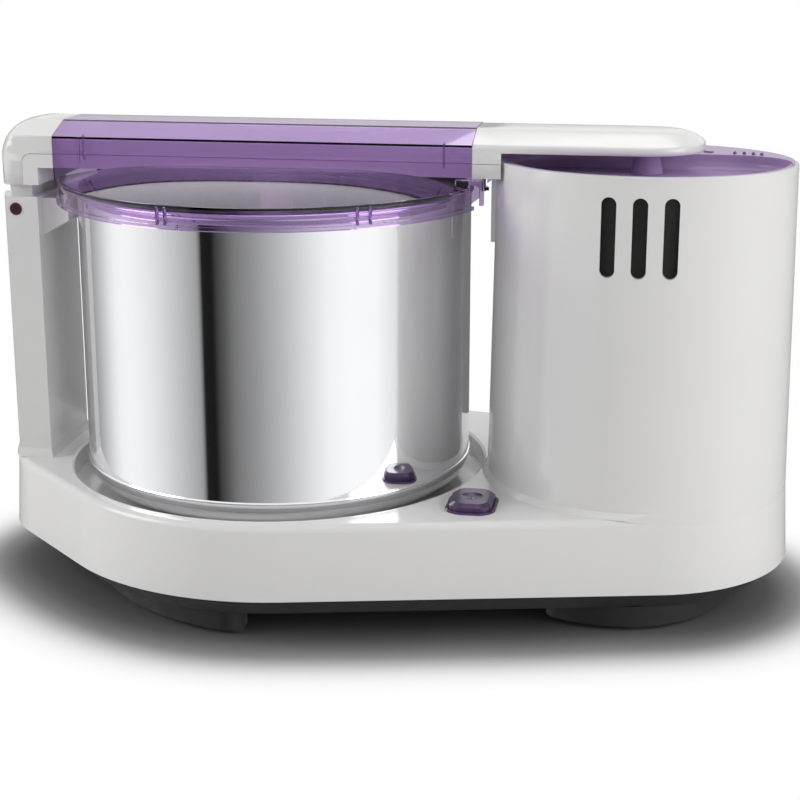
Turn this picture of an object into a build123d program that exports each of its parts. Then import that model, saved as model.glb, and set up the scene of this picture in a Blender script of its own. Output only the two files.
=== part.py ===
"""Table-top wet grinder: a steel drum turns on a low base beside the motor tower, and a hinged arm
with a clear lid reaches across the drum. Units are millimetres, Z is up, X runs from the column to
the tower, and the origin is on the floor below the middle of the base."""
import os
from math import acos, asin, atan2, cos, degrees, radians, sin, tan

from build123d import *

# Driving dimensions

# Plan of the base: three rounds on one line, joined by their common tangents
drum_radius = 110.0
well_gap = 9.0
deck_margin = 11.5
tower_foot_radius = 83.5
tower_margin = 2.5
tower_gap = 3.5
column_gap = 10.0
column_depth = 30.0
nose_overlap = 33.0

# Levels above the floor
pad_height = 3.0
boss_height = 11.5
skirt_z = 26.0
deck_z = 67.0
drum_top_z = 226.0
column_drop = 7.0
pin_drop = 7.0
arm_heel_gap = 7.0
arm_height = 34.3
arm_seam_drop = 16.8
arm_rise = 9.7
tower_top_drop = 14.9
tower_top_lean = 1.5

# Base and tower moulding
wall = 3.0
skirt_draft = 2.4
shoulder_round = 4.0
tower_taper = 3.0
tower_wall = 2.6
tower_flare = 3.0
well_floor_z = 55.0
well_edge = 1.2
vent_width = 7.6
vent_pitch = 15.8
vent_drop = 10.4
vent_length = 41.0
vent_count = 3

# Tray under the base
tray_floor = 3.0
tray_inset = 2.0
tray_slope = 11.0
tray_lip = 2.0
tray_screw_radius = 3.6
tray_screw_head = 2.2
tray_screw_shank = 1.6
screw_length = 14.0
screw_post_radius = 4.0
screw_post_inset = 20.0
screw_tower_angle = 26.0
screw_nose_reach = 28.0
screw_nose_y = 28.0
tray_vent_width = 4.0
tray_vent_length = 44.0
tray_vent_pitch = 10.0
tray_vent_count = 5

# Feet
foot_band = 20.0
foot_pad_width = 11.0
foot_pad_half = 6.3
foot_pad_clearance = 0.1
foot_pad_depth = 2.5
foot_drum_dx = 23.9
foot_drum_dy = 14.5
foot_drum_out = 3.0
foot_tower_dx = 9.4
foot_tower_dy = 12.3
foot_tower_in = 22.5

# Column and hinge
column_side_in = 2.5
column_inset = 3.0
column_wall = 3.0
column_solid = 36.0
column_foot = 5.0
column_foot_swell = 1.5
neck_side_in = 3.5
neck_inset = 6.5
neck_rise = 7.5
neck_back = 4.0
pin_outboard = 13.0
pin_radius = 3.0
pin_running = 0.05
pin_fit = 0.02
pin_chamfer = 0.5
knuckle_radius = 8.0
knuckle_half = 10.0
knuckle_web_back = 4.0
fork_clearance = 0.6
pin_cap_radius = 3.5
pin_cap_depth = 2.0
pin_cap_proud = 0.6
pin_cap_clearance = 0.1
pin_cap_round = 0.5
shelf_reach = 15.0
shelf_side_in = 7.0
shelf_depth = 21.0
shelf_edge = 12.5
shelf_below_lid = 1.5

# Arm
arm_half = 33.5
arm_reach = 31.0
arm_wall = 2.5
arm_bevel_width = 20.0
arm_bevel_height = 7.0
arm_heel_end = 2.0
arm_step_gap = 2.0
arm_nose_rise = 4.0
arm_back_round = 20.0
arm_seam_back = 7.0
arm_seam_round = 5.0
arm_seam_gap = 0.25
arm_recess_gap = 0.4

# Drum
drum_wall = 1.2
drum_bottom_z = 60.0
drum_seam_z = 72.0
drum_lip = 1.6
drum_bead = 0.8
drum_foot_inset = 8.0
stone_clearance = 2.5
base_stone_z = 84.0
base_stone_round = 3.0
base_stone_foot_round = 9.0
centre_tube_radius = 14.0
centre_tube_wall = 2.5
centre_tube_top = 138.0
centre_tube_flange = 2.4
spindle_radius = 6.0
spindle_bottom_z = 19.0
spindle_top_z = 74.0
spindle_chamfer = 1.0
dog_radius = 14.0
dog_height = 4.0
dog_play = 0.3

# Grinding stones: each cone's point is where the drum's axis meets the bed stone's top
cone_angle = 25.0
roller_inner = 41.0
roller_wall_gap = 22.8
roller_gap = 0.4
roller_round = 3.0
roller_recess = 4.0
axle_radius = 5.0
axle_overhang = 8.0
bush_wall = 2.0
bush_running = 0.06
nut_radius = 8.0
holder_wall = 6.0
holder_running = 0.3
holder_lift = 2.5
holder_shoulder = 8.0
holder_shaft_radius = 8.0
holder_shaft_rise = 5.0
holder_round = 2.0
boss_radius = 9.0
scraper_thickness = 3.0
scraper_low_gap = 1.5
scraper_height = 52.0
scraper_wall_gap = 2.0
scraper_start_angle = 80.0
scraper_end_angle = 112.0

# Pressure cup in the arm
cup_radius = 12.0
cup_bore = 10.0
cup_flange_radius = 15.0
cup_flange = 2.0
cup_play = 0.5
cup_below = 4.5
cup_travel = 4.0
cup_guide_radius = 5.0
spring_wire = 0.7
spring_radius = 7.5
spring_turns = 4

# Clear lid
lid_clearance = 0.5
lid_wall = 2.0
lid_overhang = 9.5
lid_skirt = 7.0
lid_rim_rise = 5.0
lid_flange = 2.0
lid_bead = 1.2
lid_crown_rise = 8.0
lid_crown_radius = 52.0
lid_left_in = 1.8
lid_right_in = 4.5
lid_hook_reach = 7.0
lid_hook_root = 8.0
lid_hook_drop = 13.0
lid_hook_width = 5.0
lid_hook_gap = 0.5
lid_rib_width = 1.4
lid_rib_proud = 0.7
lid_rib_inset = 15.0
lid_rib_height = 15.0

# Tower top
cap_clearance = 0.3
cap_wall = 2.5
cap_dish_depth = 7.0
cap_dish_round = 5.0
cap_edge = 2.0
dish_back_y = 22.0
dish_side_in = 4.0
dish_corner = 31.0
crescent_in = 2.1
crescent_height = 1.2
rest_radius = 9.0
rest_top_radius = 6.0
rest_round = 1.5
catch_half = 12.0
catch_drop = 13.4
catch_height = 34.0
catch_depth = 1.6

# Switch in the deck
switch_well_gap = 24.115
switch_wall_gap = 31.772
switch_width = 27.0
switch_length = 35.0
switch_corner = 10.0
switch_bezel = 0.8
switch_bezel_rise = 1.0
switch_rise = 5.0
switch_play = 0.3
switch_chamfer_down = 2.5
switch_chamfer_in = 1.7
switch_travel = 2.5
switch_stem_radius = 3.5
switch_spring_radius = 5.5
switch_spring_turns = 4
switch_body_height = 20.0
switch_dimple_radius = 6.0
switch_dimple_depth = 1.0

# Motor and drive
motor_radius = 50.0
motor_core_height = 54.0
motor_bell_height = 14.0
motor_bell_radius = 44.0
motor_shaft_radius = 5.0
motor_running = 0.06
rotor_gap = 0.8
rotor_radius = 27.0
screw_ledge_lap = 5.0
motor_ledge = 3.0
motor_plate = 3.0
tie_bolt_radius = 2.5
tie_bolt_count = 4
tie_bolt_start = 45.0
tie_bolt_head = 4.5
tie_bolt_head_height = 3.5
fan_radius = 42.0
fan_hub_radius = 10.0
fan_height = 12.0
fan_blade = 2.0
fan_blades = 9
small_pulley_radius = 8.0
driven_pulley_radius = 78.0
pulley_flange = 1.5
pulley_flange_rise = 3.5
pulley_spoke_hole = 24.0
pulley_spoke_count = 5
pulley_hub_radius = 13.0
pulley_web = 3.0
belt_z = 24.0
belt_width = 9.0
belt_thickness = 2.5
belt_gap = 0.3
bearing_outer = 13.0
bearing_height = 7.0
bearing_house_wall = 4.0
bearing_flange = 10.0
capacitor_radius = 11.0
capacitor_height = 48.0
capacitor_drop = 25.4
capacitor_angle = 60.0
capacitor_strap = 1.5
capacitor_strap_height = 16.0
baffle_thickness = 1.5
baffle_angle = 62.0
baffle_overlap = 6.0

# Mains inlet at the back
gland_radius = 8.0
gland_bore = 3.8
gland_flange = 1.6
gland_flange_rise = 2.0
gland_depth = 9.0
gland_z = 44.0

# Shared small sizes
seat_gap = 0.3
overrun = 1.0

# Places that follow from the driving dimensions

well_radius = drum_radius + well_gap
drum_lobe_radius = well_radius + deck_margin
tower_lobe_radius = tower_foot_radius + tower_margin
tower_rim_radius = tower_foot_radius - tower_taper
tower_offset = well_radius + tower_gap + tower_foot_radius
column_face_x = well_radius + column_gap
nose_offset = column_face_x - nose_overlap
nose_radius = nose_overlap + column_depth
column_top_z = drum_top_z - column_drop
pin_z = column_top_z - pin_drop
arm_heel_z = column_top_z + arm_heel_gap
arm_top_z = arm_heel_z + arm_height
arm_seam_z = arm_top_z - arm_seam_drop
arm_bottom_z = arm_heel_z + arm_rise
tower_top_z = arm_top_z - tower_top_drop
vent_high_z = tower_top_z - vent_drop
vent_low_z = vent_high_z - vent_length
catch_high_z = tower_top_z - catch_drop
catch_low_z = catch_high_z - catch_height
capacitor_low_z = tower_top_z - capacitor_drop - capacitor_height
column_half = arm_half - column_side_in
neck_half = column_half - neck_side_in
shelf_half = column_half - shelf_side_in
lid_radius = drum_radius + lid_overhang
lid_bottom_z = drum_top_z - lid_skirt
lid_rim_z = drum_top_z + lid_rim_rise
lid_crown_z = lid_rim_z + lid_crown_rise
holder_shaft_top = drum_top_z + holder_shaft_rise
dish_half = tower_rim_radius - dish_side_in
crescent_radius = tower_rim_radius - crescent_in

base_length = nose_radius + nose_offset + tower_offset + tower_lobe_radius
drum_x = nose_radius + nose_offset - base_length / 2
tower_x = drum_x + tower_offset
nose_x = drum_x - nose_offset
tray_z = pad_height + boss_height
nose_left_x = nose_x - nose_radius
column_right_x = drum_x - column_face_x
pin_x = column_right_x - pin_outboard
tower_inner_radius = tower_rim_radius - tower_wall
arm_right_x = tower_x + arm_reach
arm_nose_z = tower_top_z + arm_nose_rise
arm_step_radius = tower_rim_radius + arm_step_gap
lid_seat = lid_wall + lid_clearance
lid_left_x = drum_x - lid_radius + lid_left_in
lid_right_x = drum_x + lid_radius - lid_right_in
arm_ceiling_z = arm_top_z - lid_seat - arm_wall
tower_mid_z = tower_top_z - tower_rim_radius * tan(radians(tower_top_lean))
# The straight walls join the drum's round and the tower's; the back one faces this way
back_angle = 90 - degrees(asin((drum_lobe_radius - tower_lobe_radius) / tower_offset))
switch_radius = well_radius + switch_well_gap
switch_angle = degrees(acos((drum_lobe_radius - switch_wall_gap) / switch_radius)) - back_angle
switch_x = drum_x + switch_radius * cos(radians(switch_angle))
switch_y = switch_radius * sin(radians(switch_angle))
drum_inner_radius = drum_radius - drum_wall
roller_outer = drum_inner_radius - roller_wall_gap
drum_axis = Axis((drum_x, 0, 0), (0, 0, 1))
tower_axis = Axis((tower_x, 0, 0), (0, 0, 1))
drum_plane = Plane((drum_x, 0, 0), x_dir=(1, 0, 0), z_dir=(0, -1, 0))
tower_plane = Plane((tower_x, 0, 0), x_dir=(1, 0, 0), z_dir=(0, -1, 0))
# Plane of the tower's top, which leans back a little
top_normal = (0, sin(radians(tower_top_lean)), cos(radians(tower_top_lean)))
top_plane = Plane((tower_x, 0, tower_mid_z), x_dir=(1, 0, 0), z_dir=top_normal)

screw_tower_radius = tower_lobe_radius - screw_post_inset
motor_ledge_radius = screw_tower_radius - screw_ledge_lap
screw_points = []
for side in (-1, 1):
    screw_points.append((nose_x - screw_nose_reach, side * screw_nose_y))
    screw_points.append(
        (
            tower_x + screw_tower_radius * cos(radians(screw_tower_angle)),
            side * screw_tower_radius * sin(radians(screw_tower_angle)),
        )
    )
# Front feet: centre, outer radius, the boss's two end angles and the pad's angle; the back mirrors them
foot_arcs = {
    "drum": (
        drum_x + foot_drum_dx, foot_drum_dy, drum_lobe_radius + foot_drum_out, -142.0, -103.5, -104.8
    ),
    "tower": (
        tower_x - foot_tower_dx, -foot_tower_dy, tower_lobe_radius - foot_tower_in, -117.0, -20.0, -72.0
    ),
}

os.makedirs("parts", exist_ok=True)


def save(builder, name):
    """Label a finished piece and write its file."""
    builder.part.label = name
    export_step(builder.part, f"parts/{name}.step")


def base_outline(inset):
    """Plan of the base, drawn in by an inset."""
    lobes = ((drum_x, drum_lobe_radius), (tower_x, tower_lobe_radius), (nose_x, nose_radius))
    with BuildSketch() as plan:
        make_hull([Edge.make_circle(radius - inset, Plane((x, 0, 0))) for x, radius in lobes])
    return plan.sketch


def ring_profile(inner, outer, low, high):
    """Rectangle in a half section, from its radii and levels."""
    with BuildSketch() as section:
        with Locations(((inner + outer) / 2, (low + high) / 2)):
            Rectangle(outer - inner, high - low)
    return section.sketch


def switch_plan(inset):
    """The switch's outline drawn in by an inset."""
    with BuildSketch() as plan:
        RectangleRounded(switch_width - 2 * inset, switch_length - 2 * inset, switch_corner - inset)
    return plan.sketch


def polar(centre_x, radius, angle):
    """Point at a radius and angle about an upright axis at centre_x."""
    return (centre_x + radius * cos(radians(angle)), radius * sin(radians(angle)))


# Plane of the mains inlet, square to the straight wall at the back, behind the tower
gland_point = polar(tower_x, tower_lobe_radius, back_angle)
gland_normal = (cos(radians(back_angle)), sin(radians(back_angle)), 0)
gland_plane = Plane((gland_point[0], gland_point[1], gland_z), x_dir=(0, 0, 1), z_dir=gland_normal)

# Base and tower, one moulding

with BuildPart() as body_housing:
    for level, inset in ((skirt_z, 0), (deck_z, skirt_draft)):
        with BuildSketch(Plane.XY.offset(level)):
            add(base_outline(inset))
    loft(ruled=True)
    fillet(body_housing.edges().group_by(Axis.Z)[-1], radius=shoulder_round)
    for level, inset in ((skirt_z - overrun, wall), (deck_z - wall, skirt_draft + wall)):
        with BuildSketch(Plane.XY.offset(level)):
            add(base_outline(inset))
    loft(ruled=True, mode=Mode.SUBTRACT)
    # The tower's wall, with a small flare where it meets the deck
    with BuildSketch(tower_plane):
        with BuildLine():
            Polyline(
                (tower_inner_radius, deck_z - wall),
                (tower_foot_radius, deck_z - wall),
                (tower_foot_radius + tower_flare, deck_z),
                (tower_foot_radius, deck_z + tower_flare),
                (tower_rim_radius, tower_top_z),
                (tower_inner_radius, tower_top_z),
                close=True,
            )
        make_face()
    revolve(axis=tower_axis)
    with BuildSketch(Plane.XY.offset(deck_z - wall - overrun)):
        with Locations((tower_x, 0)):
            Circle(tower_inner_radius)
    extrude(amount=tower_top_z - deck_z + wall + 2 * overrun, mode=Mode.SUBTRACT)
    with BuildSketch(top_plane):
        Circle(2 * tower_foot_radius)
    extrude(amount=cap_dish_depth, mode=Mode.SUBTRACT)
    # The flare stops where the deck ends
    with BuildSketch(Plane.XY.offset(deck_z - wall)):
        with Locations((tower_x, 0)):
            Circle(tower_foot_radius + 2 * tower_flare)
        add(base_outline(skirt_draft), mode=Mode.SUBTRACT)
    extrude(amount=wall + tower_flare, mode=Mode.SUBTRACT)
    # The well that the drum stands in
    with BuildSketch(drum_plane):
        with BuildLine():
            Polyline(
                (0, well_floor_z), (well_radius, well_floor_z), (well_radius, deck_z - well_edge),
                (well_radius + well_edge + overrun, deck_z + overrun), (0, deck_z + overrun),
                close=True,
            )
        make_face()
    revolve(axis=drum_axis, mode=Mode.SUBTRACT)
    with BuildSketch(drum_plane):
        add(ring_profile(well_radius, well_radius + wall, well_floor_z - wall, deck_z - wall))
        add(ring_profile(bearing_outer, well_radius + wall, well_floor_z - wall, well_floor_z))
    revolve(axis=drum_axis)
    # Air slots through the tower's front
    with BuildSketch(tower_plane):
        with Locations((0, (vent_low_z + vent_high_z) / 2)):
            with GridLocations(vent_pitch, 1, vent_count, 1):
                SlotOverall(vent_high_z - vent_low_z, vent_width, rotation=90)
    extrude(amount=tower_foot_radius + overrun, mode=Mode.SUBTRACT)
    # Ledge for the motor's plate, and posts for the tray's screws
    with BuildSketch(tower_plane):
        add(
            ring_profile(
                motor_ledge_radius, tower_foot_radius, deck_z - wall - motor_ledge, deck_z - wall
            )
        )
    revolve(axis=tower_axis)
    with BuildSketch(Plane.XY.offset(tray_z + tray_floor)):
        with Locations(*screw_points):
            Circle(screw_post_radius)
    extrude(amount=deck_z - wall - tray_z - tray_floor)
    with BuildSketch(Plane.XY.offset(tray_z + tray_floor)):
        with Locations(*screw_points):
            Circle(tray_screw_shank)
    extrude(amount=screw_length, mode=Mode.SUBTRACT)
    # Opening for the switch
    with BuildSketch(Plane((switch_x, switch_y, deck_z - wall - overrun))):
        add(switch_plan(switch_bezel))
    extrude(amount=wall + 2 * overrun, mode=Mode.SUBTRACT)
    # Hole for the mains inlet
    with BuildSketch(gland_plane.offset(-gland_depth)):
        Circle(gland_radius)
    extrude(amount=gland_depth + overrun, mode=Mode.SUBTRACT)
save(body_housing, "body_housing")


# Tray that closes the base, with arc-shaped bosses for the feet


def foot_arc(centre_x, centre_y, radius, start, end, side, width):
    """Plan of a band with rounded ends along an arc; side -1 is the front, 1 the back."""
    with BuildLine() as line:
        CenterArc((centre_x, -side * centre_y), radius, -side * start, -side * (end - start))
    with BuildSketch() as band:
        SlotArc(line.edge(), width)
    return band.sketch


with BuildPart() as bottom_tray:
    with BuildSketch(Plane.XY.offset(tray_z)):
        add(base_outline(tray_inset + tray_slope))
    with BuildSketch(Plane.XY.offset(skirt_z)):
        add(base_outline(tray_inset))
    loft(ruled=True)
    with BuildSketch(Plane.XY.offset(tray_z + tray_floor)):
        add(base_outline(tray_inset + tray_slope + wall))
    with BuildSketch(Plane.XY.offset(skirt_z + overrun)):
        add(base_outline(tray_inset + wall))
    loft(ruled=True, mode=Mode.SUBTRACT)
    # Rim that reaches up inside the skirt
    with BuildSketch(Plane.XY.offset(skirt_z - tray_lip)):
        add(base_outline(wall + seat_gap))
        add(base_outline(2 * wall + seat_gap), mode=Mode.SUBTRACT)
    extrude(amount=2 * tray_lip)
    for centre_x, centre_y, outer_radius, start, end, pad_angle in foot_arcs.values():
        band_radius = outer_radius - foot_band / 2
        pad_span = degrees(foot_pad_half / band_radius)
        for side in (-1, 1):
            with BuildSketch(Plane.XY.offset(pad_height)):
                add(foot_arc(centre_x, centre_y, band_radius, start, end, side, foot_band))
            extrude(amount=boss_height)
            with BuildSketch(Plane.XY.offset(pad_height)):
                add(
                    foot_arc(
                        centre_x, centre_y, band_radius, pad_angle - pad_span, pad_angle + pad_span,
                        side, foot_pad_width + 2 * foot_pad_clearance,
                    )
                )
            extrude(amount=foot_pad_depth, mode=Mode.SUBTRACT)
    # Screw holes, and air slots under the motor
    with BuildSketch(Plane.XY.offset(tray_z)):
        with Locations(*screw_points):
            Circle(tray_screw_shank + foot_pad_clearance)
    extrude(amount=tray_floor + overrun, mode=Mode.SUBTRACT)
    with BuildSketch(Plane.XY.offset(tray_z - overrun)):
        with Locations((tower_x, 0)):
            with GridLocations(tray_vent_pitch, 1, tray_vent_count, 1):
                SlotOverall(tray_vent_length, tray_vent_width, rotation=90)
    extrude(amount=tray_floor + 2 * overrun, mode=Mode.SUBTRACT)
save(bottom_tray, "bottom_tray")

for place, (centre_x, centre_y, outer_radius, start, end, pad_angle) in foot_arcs.items():
    band_radius = outer_radius - foot_band / 2
    pad_span = degrees(foot_pad_half / band_radius)
    for side, side_name in ((-1, "front"), (1, "back")):
        with BuildPart() as foot_pad:
            with BuildSketch():
                add(
                    foot_arc(
                        centre_x, centre_y, band_radius, pad_angle - pad_span, pad_angle + pad_span,
                        side, foot_pad_width,
                    )
                )
            extrude(amount=pad_height + foot_pad_depth)
        save(foot_pad, f"foot_pad_{place}_{side_name}")

for index, (x, y) in enumerate(screw_points):
    with BuildPart() as tray_screw:
        with BuildSketch(Plane((x, y, tray_z))):
            Circle(tray_screw_shank)
        extrude(amount=tray_floor + screw_length)
        with BuildSketch(Plane((x, y, tray_z))):
            Circle(tray_screw_radius)
        extrude(amount=-tray_screw_head)
        fillet(tray_screw.edges().group_by(Axis.Z)[0], radius=tray_screw_head / 2)
    save(tray_screw, f"tray_screw_{index + 1}")

# Column that carries the arm


def column_plan(half, inset, right_x):
    """The base's nose, cut to the column's width and to its inner face."""
    with BuildSketch() as plan:
        with Locations((nose_x, 0)):
            Circle(nose_radius - inset)
        with Locations(((nose_left_x + right_x) / 2, 0)):
            Rectangle(right_x - nose_left_x, 2 * half, mode=Mode.INTERSECT)
    return plan.sketch


neck_right_x = column_right_x - neck_back
neck_top_z = column_top_z + neck_rise
fork_half = knuckle_half + fork_clearance
fork_radius = knuckle_radius + fork_clearance
pin_plane = Plane((pin_x, 0, pin_z), x_dir=(1, 0, 0), z_dir=(0, -1, 0))
with BuildPart() as arm_column:
    with BuildSketch(Plane.XY.offset(deck_z)):
        add(column_plan(column_half, column_inset, column_right_x))
    extrude(amount=column_top_z - deck_z)
    with BuildSketch(Plane.XY.offset(deck_z)):
        add(
            column_plan(
                column_half + column_foot_swell, column_inset - column_foot_swell,
                column_right_x + column_foot_swell,
            )
        )
    with BuildSketch(Plane.XY.offset(deck_z + column_foot)):
        add(column_plan(column_half, column_inset, column_right_x))
    loft(ruled=True)
    with BuildSketch(Plane.XY.offset(deck_z)):
        add(
            column_plan(
                column_half - column_wall, column_inset + column_wall, column_right_x - column_wall
            )
        )
    extrude(amount=column_top_z - column_solid - deck_z, mode=Mode.SUBTRACT)
    with BuildSketch(Plane.XY.offset(column_top_z)):
        add(column_plan(neck_half, neck_inset, neck_right_x))
    extrude(amount=neck_rise)
    # Fork for the arm's knuckle, open to the top and to the outside
    with BuildSketch(Plane((nose_left_x, 0, pin_z - fork_radius))):
        with Locations(((pin_x + fork_radius - nose_left_x) / 2, 0)):
            Rectangle(pin_x + fork_radius - nose_left_x, 2 * fork_half)
    extrude(amount=neck_top_z - pin_z + 2 * fork_radius, mode=Mode.SUBTRACT)
    with BuildSketch(Plane((column_right_x, 0, column_top_z))):
        Rectangle(4 * neck_back, 2 * fork_half)
    extrude(amount=neck_rise + overrun, mode=Mode.SUBTRACT)
    with BuildSketch(pin_plane):
        Circle(pin_radius + pin_fit)
    extrude(amount=column_half + overrun, both=True, mode=Mode.SUBTRACT)
    for side in (-1, 1):
        with BuildSketch(pin_plane.offset(side * (column_half - pin_cap_depth))):
            Circle(pin_cap_radius + pin_cap_clearance)
        extrude(amount=side * (pin_cap_depth + overrun), mode=Mode.SUBTRACT)
    # Shelf under the lid's end
    shelf_top_z = lid_bottom_z - shelf_below_lid
    with BuildSketch(Plane((column_right_x, 0, shelf_top_z), x_dir=(1, 0, 0), z_dir=(0, -1, 0))):
        with BuildLine():
            Polyline(
                (0, 0), (shelf_reach, 0), (shelf_reach, -shelf_edge), (0, -shelf_depth), close=True
            )
        make_face()
    extrude(amount=shelf_half, both=True)
save(arm_column, "arm_column")

pin_half = column_half - pin_cap_depth
with BuildPart() as hinge_pin:
    with BuildSketch(pin_plane):
        Circle(pin_radius)
    extrude(amount=pin_half, both=True)
    chamfer(hinge_pin.edges().filter_by(GeomType.CIRCLE), length=pin_chamfer)
save(hinge_pin, "hinge_pin")

for side, side_name in ((1, "front"), (-1, "back")):
    with BuildPart() as hinge_cap:
        with BuildSketch(pin_plane.offset(side * pin_half)):
            Circle(pin_cap_radius)
        extrude(amount=side * (pin_cap_depth + pin_cap_proud))
        rim = hinge_cap.edges().sort_by(Axis.Y)[0 if side == 1 else -1]
        fillet(rim, radius=pin_cap_round)
    save(hinge_cap, f"hinge_cap_{side_name}")

# Arm: two covers that share one outer form


def arm_section(grow, low):
    """Cross-section of the arm's ends, grown outward, from a level up."""
    half = arm_half + grow
    top = arm_top_z + grow
    # A bevel that stays parallel moves its ends by the half-angle at each corner
    lean = radians(90) - atan2(arm_bevel_height, arm_bevel_width)
    side_z = arm_top_z - arm_bevel_height + grow * tan(lean / 2)
    top_y = arm_half - arm_bevel_width + grow * tan(radians(45) - lean / 2)
    with BuildSketch() as section:
        Polygon(
            (-half, low), (half, low), (half, side_z), (top_y, top), (-top_y, top), (-half, side_z),
            align=None,
        )
    return section.sketch


def along_plane(x):
    """Plane square to the arm at a place along it, with the section's sides along Y and Z."""
    return Plane((x, 0, 0), x_dir=(0, 1, 0), z_dir=(1, 0, 0))


def arm_form(inset, heel_z):
    """The arm's outer form drawn in by an inset, with its heel's underside at heel_z."""
    arm_left_x = nose_left_x + column_inset
    heel_end_x = column_right_x + arm_heel_end
    end_x = arm_right_x - arm_half
    end_radius = nose_radius - column_inset - inset
    top = arm_top_z - inset
    # The hinge end follows the base's nose in plan, with a soft upper edge
    with BuildPart() as limit:
        with BuildSketch(Plane((nose_x, 0, 0), x_dir=(1, 0, 0), z_dir=(0, -1, 0))):
            with Locations((end_radius / 2, (heel_z + top) / 2)):
                Rectangle(end_radius, top - heel_z)
            corner = vertices().sort_by(Axis.X)[-2:].sort_by(Axis.Y)[-1]
            fillet(corner, radius=arm_back_round - inset)
        revolve(axis=Axis((nose_x, 0, 0), (0, 0, 1)))
        with BuildSketch(along_plane(nose_x)):
            with Locations((0, (heel_z + top) / 2)):
                Rectangle(2 * arm_half, top - heel_z)
        extrude(amount=arm_right_x - nose_x)
    with BuildPart() as form:
        with BuildSketch(along_plane(arm_left_x)):
            add(arm_section(-inset, heel_z))
        extrude(amount=end_x - arm_left_x)
        with BuildSketch(Plane((end_x, 0, 0), x_dir=(1, 0, 0), z_dir=(0, -1, 0))):
            add(arm_section(-inset, heel_z))
            with Locations((arm_half, (heel_z + top) / 2)):
                Rectangle(2 * arm_half, top - heel_z, mode=Mode.INTERSECT)
        revolve(axis=Axis((end_x, 0, 0), (0, 0, 1)))
        add(limit.part, mode=Mode.INTERSECT)
        # Between its ends the arm is recessed, so that the clear lid lies flush
        recess_left_x = lid_left_x - arm_recess_gap - inset
        recess_right_x = lid_right_x + arm_recess_gap + inset
        with BuildSketch(along_plane(recess_left_x)):
            with Locations((0, (heel_z + top) / 2)):
                Rectangle(4 * arm_half, top - heel_z + 2 * overrun)
            add(arm_section(-lid_seat - inset, heel_z - 2 * overrun), mode=Mode.SUBTRACT)
        extrude(amount=recess_right_x - recess_left_x, mode=Mode.SUBTRACT)
        with BuildSketch(Plane.XZ):
            with BuildLine():
                Polyline(
                    (arm_left_x + inset, heel_z),
                    (arm_left_x + inset, top),
                    (arm_right_x, top),
                    (arm_right_x, arm_bottom_z + inset),
                    (heel_end_x - inset, arm_bottom_z + inset),
                    (heel_end_x - inset, heel_z),
                    close=True,
                )
            make_face()
        extrude(amount=arm_half, both=True, mode=Mode.INTERSECT)
        # The underside steps up over the tower, and follows its wall
        with BuildSketch(Plane((tower_x, 0, arm_bottom_z))):
            Circle(arm_step_radius + inset)
        extrude(amount=arm_nose_z + inset - arm_bottom_z, mode=Mode.SUBTRACT)
    return form.part


def lower_cover_region(gap):
    """Side view of what the lower cover takes: below the seam, which turns down at the heel."""
    seam_x = column_right_x - arm_seam_back + gap
    seam_z = arm_seam_z - gap
    with BuildPart() as region:
        with BuildSketch(Plane.XZ):
            with Locations(((seam_x + arm_right_x) / 2, (arm_heel_z + seam_z) / 2)):
                Rectangle(arm_right_x - seam_x, seam_z - arm_heel_z)
            corner = vertices().sort_by(Axis.X)[:2].sort_by(Axis.Y)[-1]
            fillet(corner, radius=arm_seam_round - gap)
        extrude(amount=arm_half, both=True)
    return region.part


arm_outer = arm_form(0, arm_heel_z)
arm_hollow = arm_form(arm_wall, arm_heel_z - overrun)
guide_low_z = arm_bottom_z + arm_wall + cup_play + cup_flange + cup_travel + cup_play
with BuildPart() as arm_upper:
    add(arm_outer)
    add(arm_hollow, mode=Mode.SUBTRACT)
    add(lower_cover_region(0), mode=Mode.SUBTRACT)
    # Stub that guides the spring
    with BuildSketch(Plane((drum_x, 0, guide_low_z))):
        Circle(cup_guide_radius)
    extrude(amount=arm_ceiling_z - guide_low_z)
save(arm_upper, "arm_upper")

with BuildPart() as arm_lower:
    add(arm_outer)
    add(arm_hollow, mode=Mode.SUBTRACT)
    add(lower_cover_region(arm_seam_gap), mode=Mode.INTERSECT)
    with BuildSketch(Plane((drum_x, 0, arm_bottom_z - overrun))):
        Circle(cup_radius + cup_play)
    extrude(amount=arm_wall + 2 * overrun, mode=Mode.SUBTRACT)
save(arm_lower, "arm_lower")

knuckle_bound = arm_form(arm_wall, pin_z - knuckle_radius - overrun)
with BuildPart() as arm_knuckle:
    with BuildSketch(pin_plane):
        with Locations(((knuckle_radius - knuckle_web_back) / 2, (arm_top_z - pin_z) / 2)):
            Rectangle(knuckle_radius + knuckle_web_back, arm_top_z - pin_z)
    extrude(amount=knuckle_half, both=True)
    add(knuckle_bound, mode=Mode.INTERSECT)
    with BuildSketch(pin_plane):
        Circle(knuckle_radius)
    extrude(amount=knuckle_half, both=True)
    with BuildSketch(pin_plane):
        Circle(pin_radius + pin_running)
    extrude(amount=knuckle_half + overrun, both=True, mode=Mode.SUBTRACT)
save(arm_knuckle, "arm_knuckle")


# Drum with its bed stone, centre tube and drive

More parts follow.
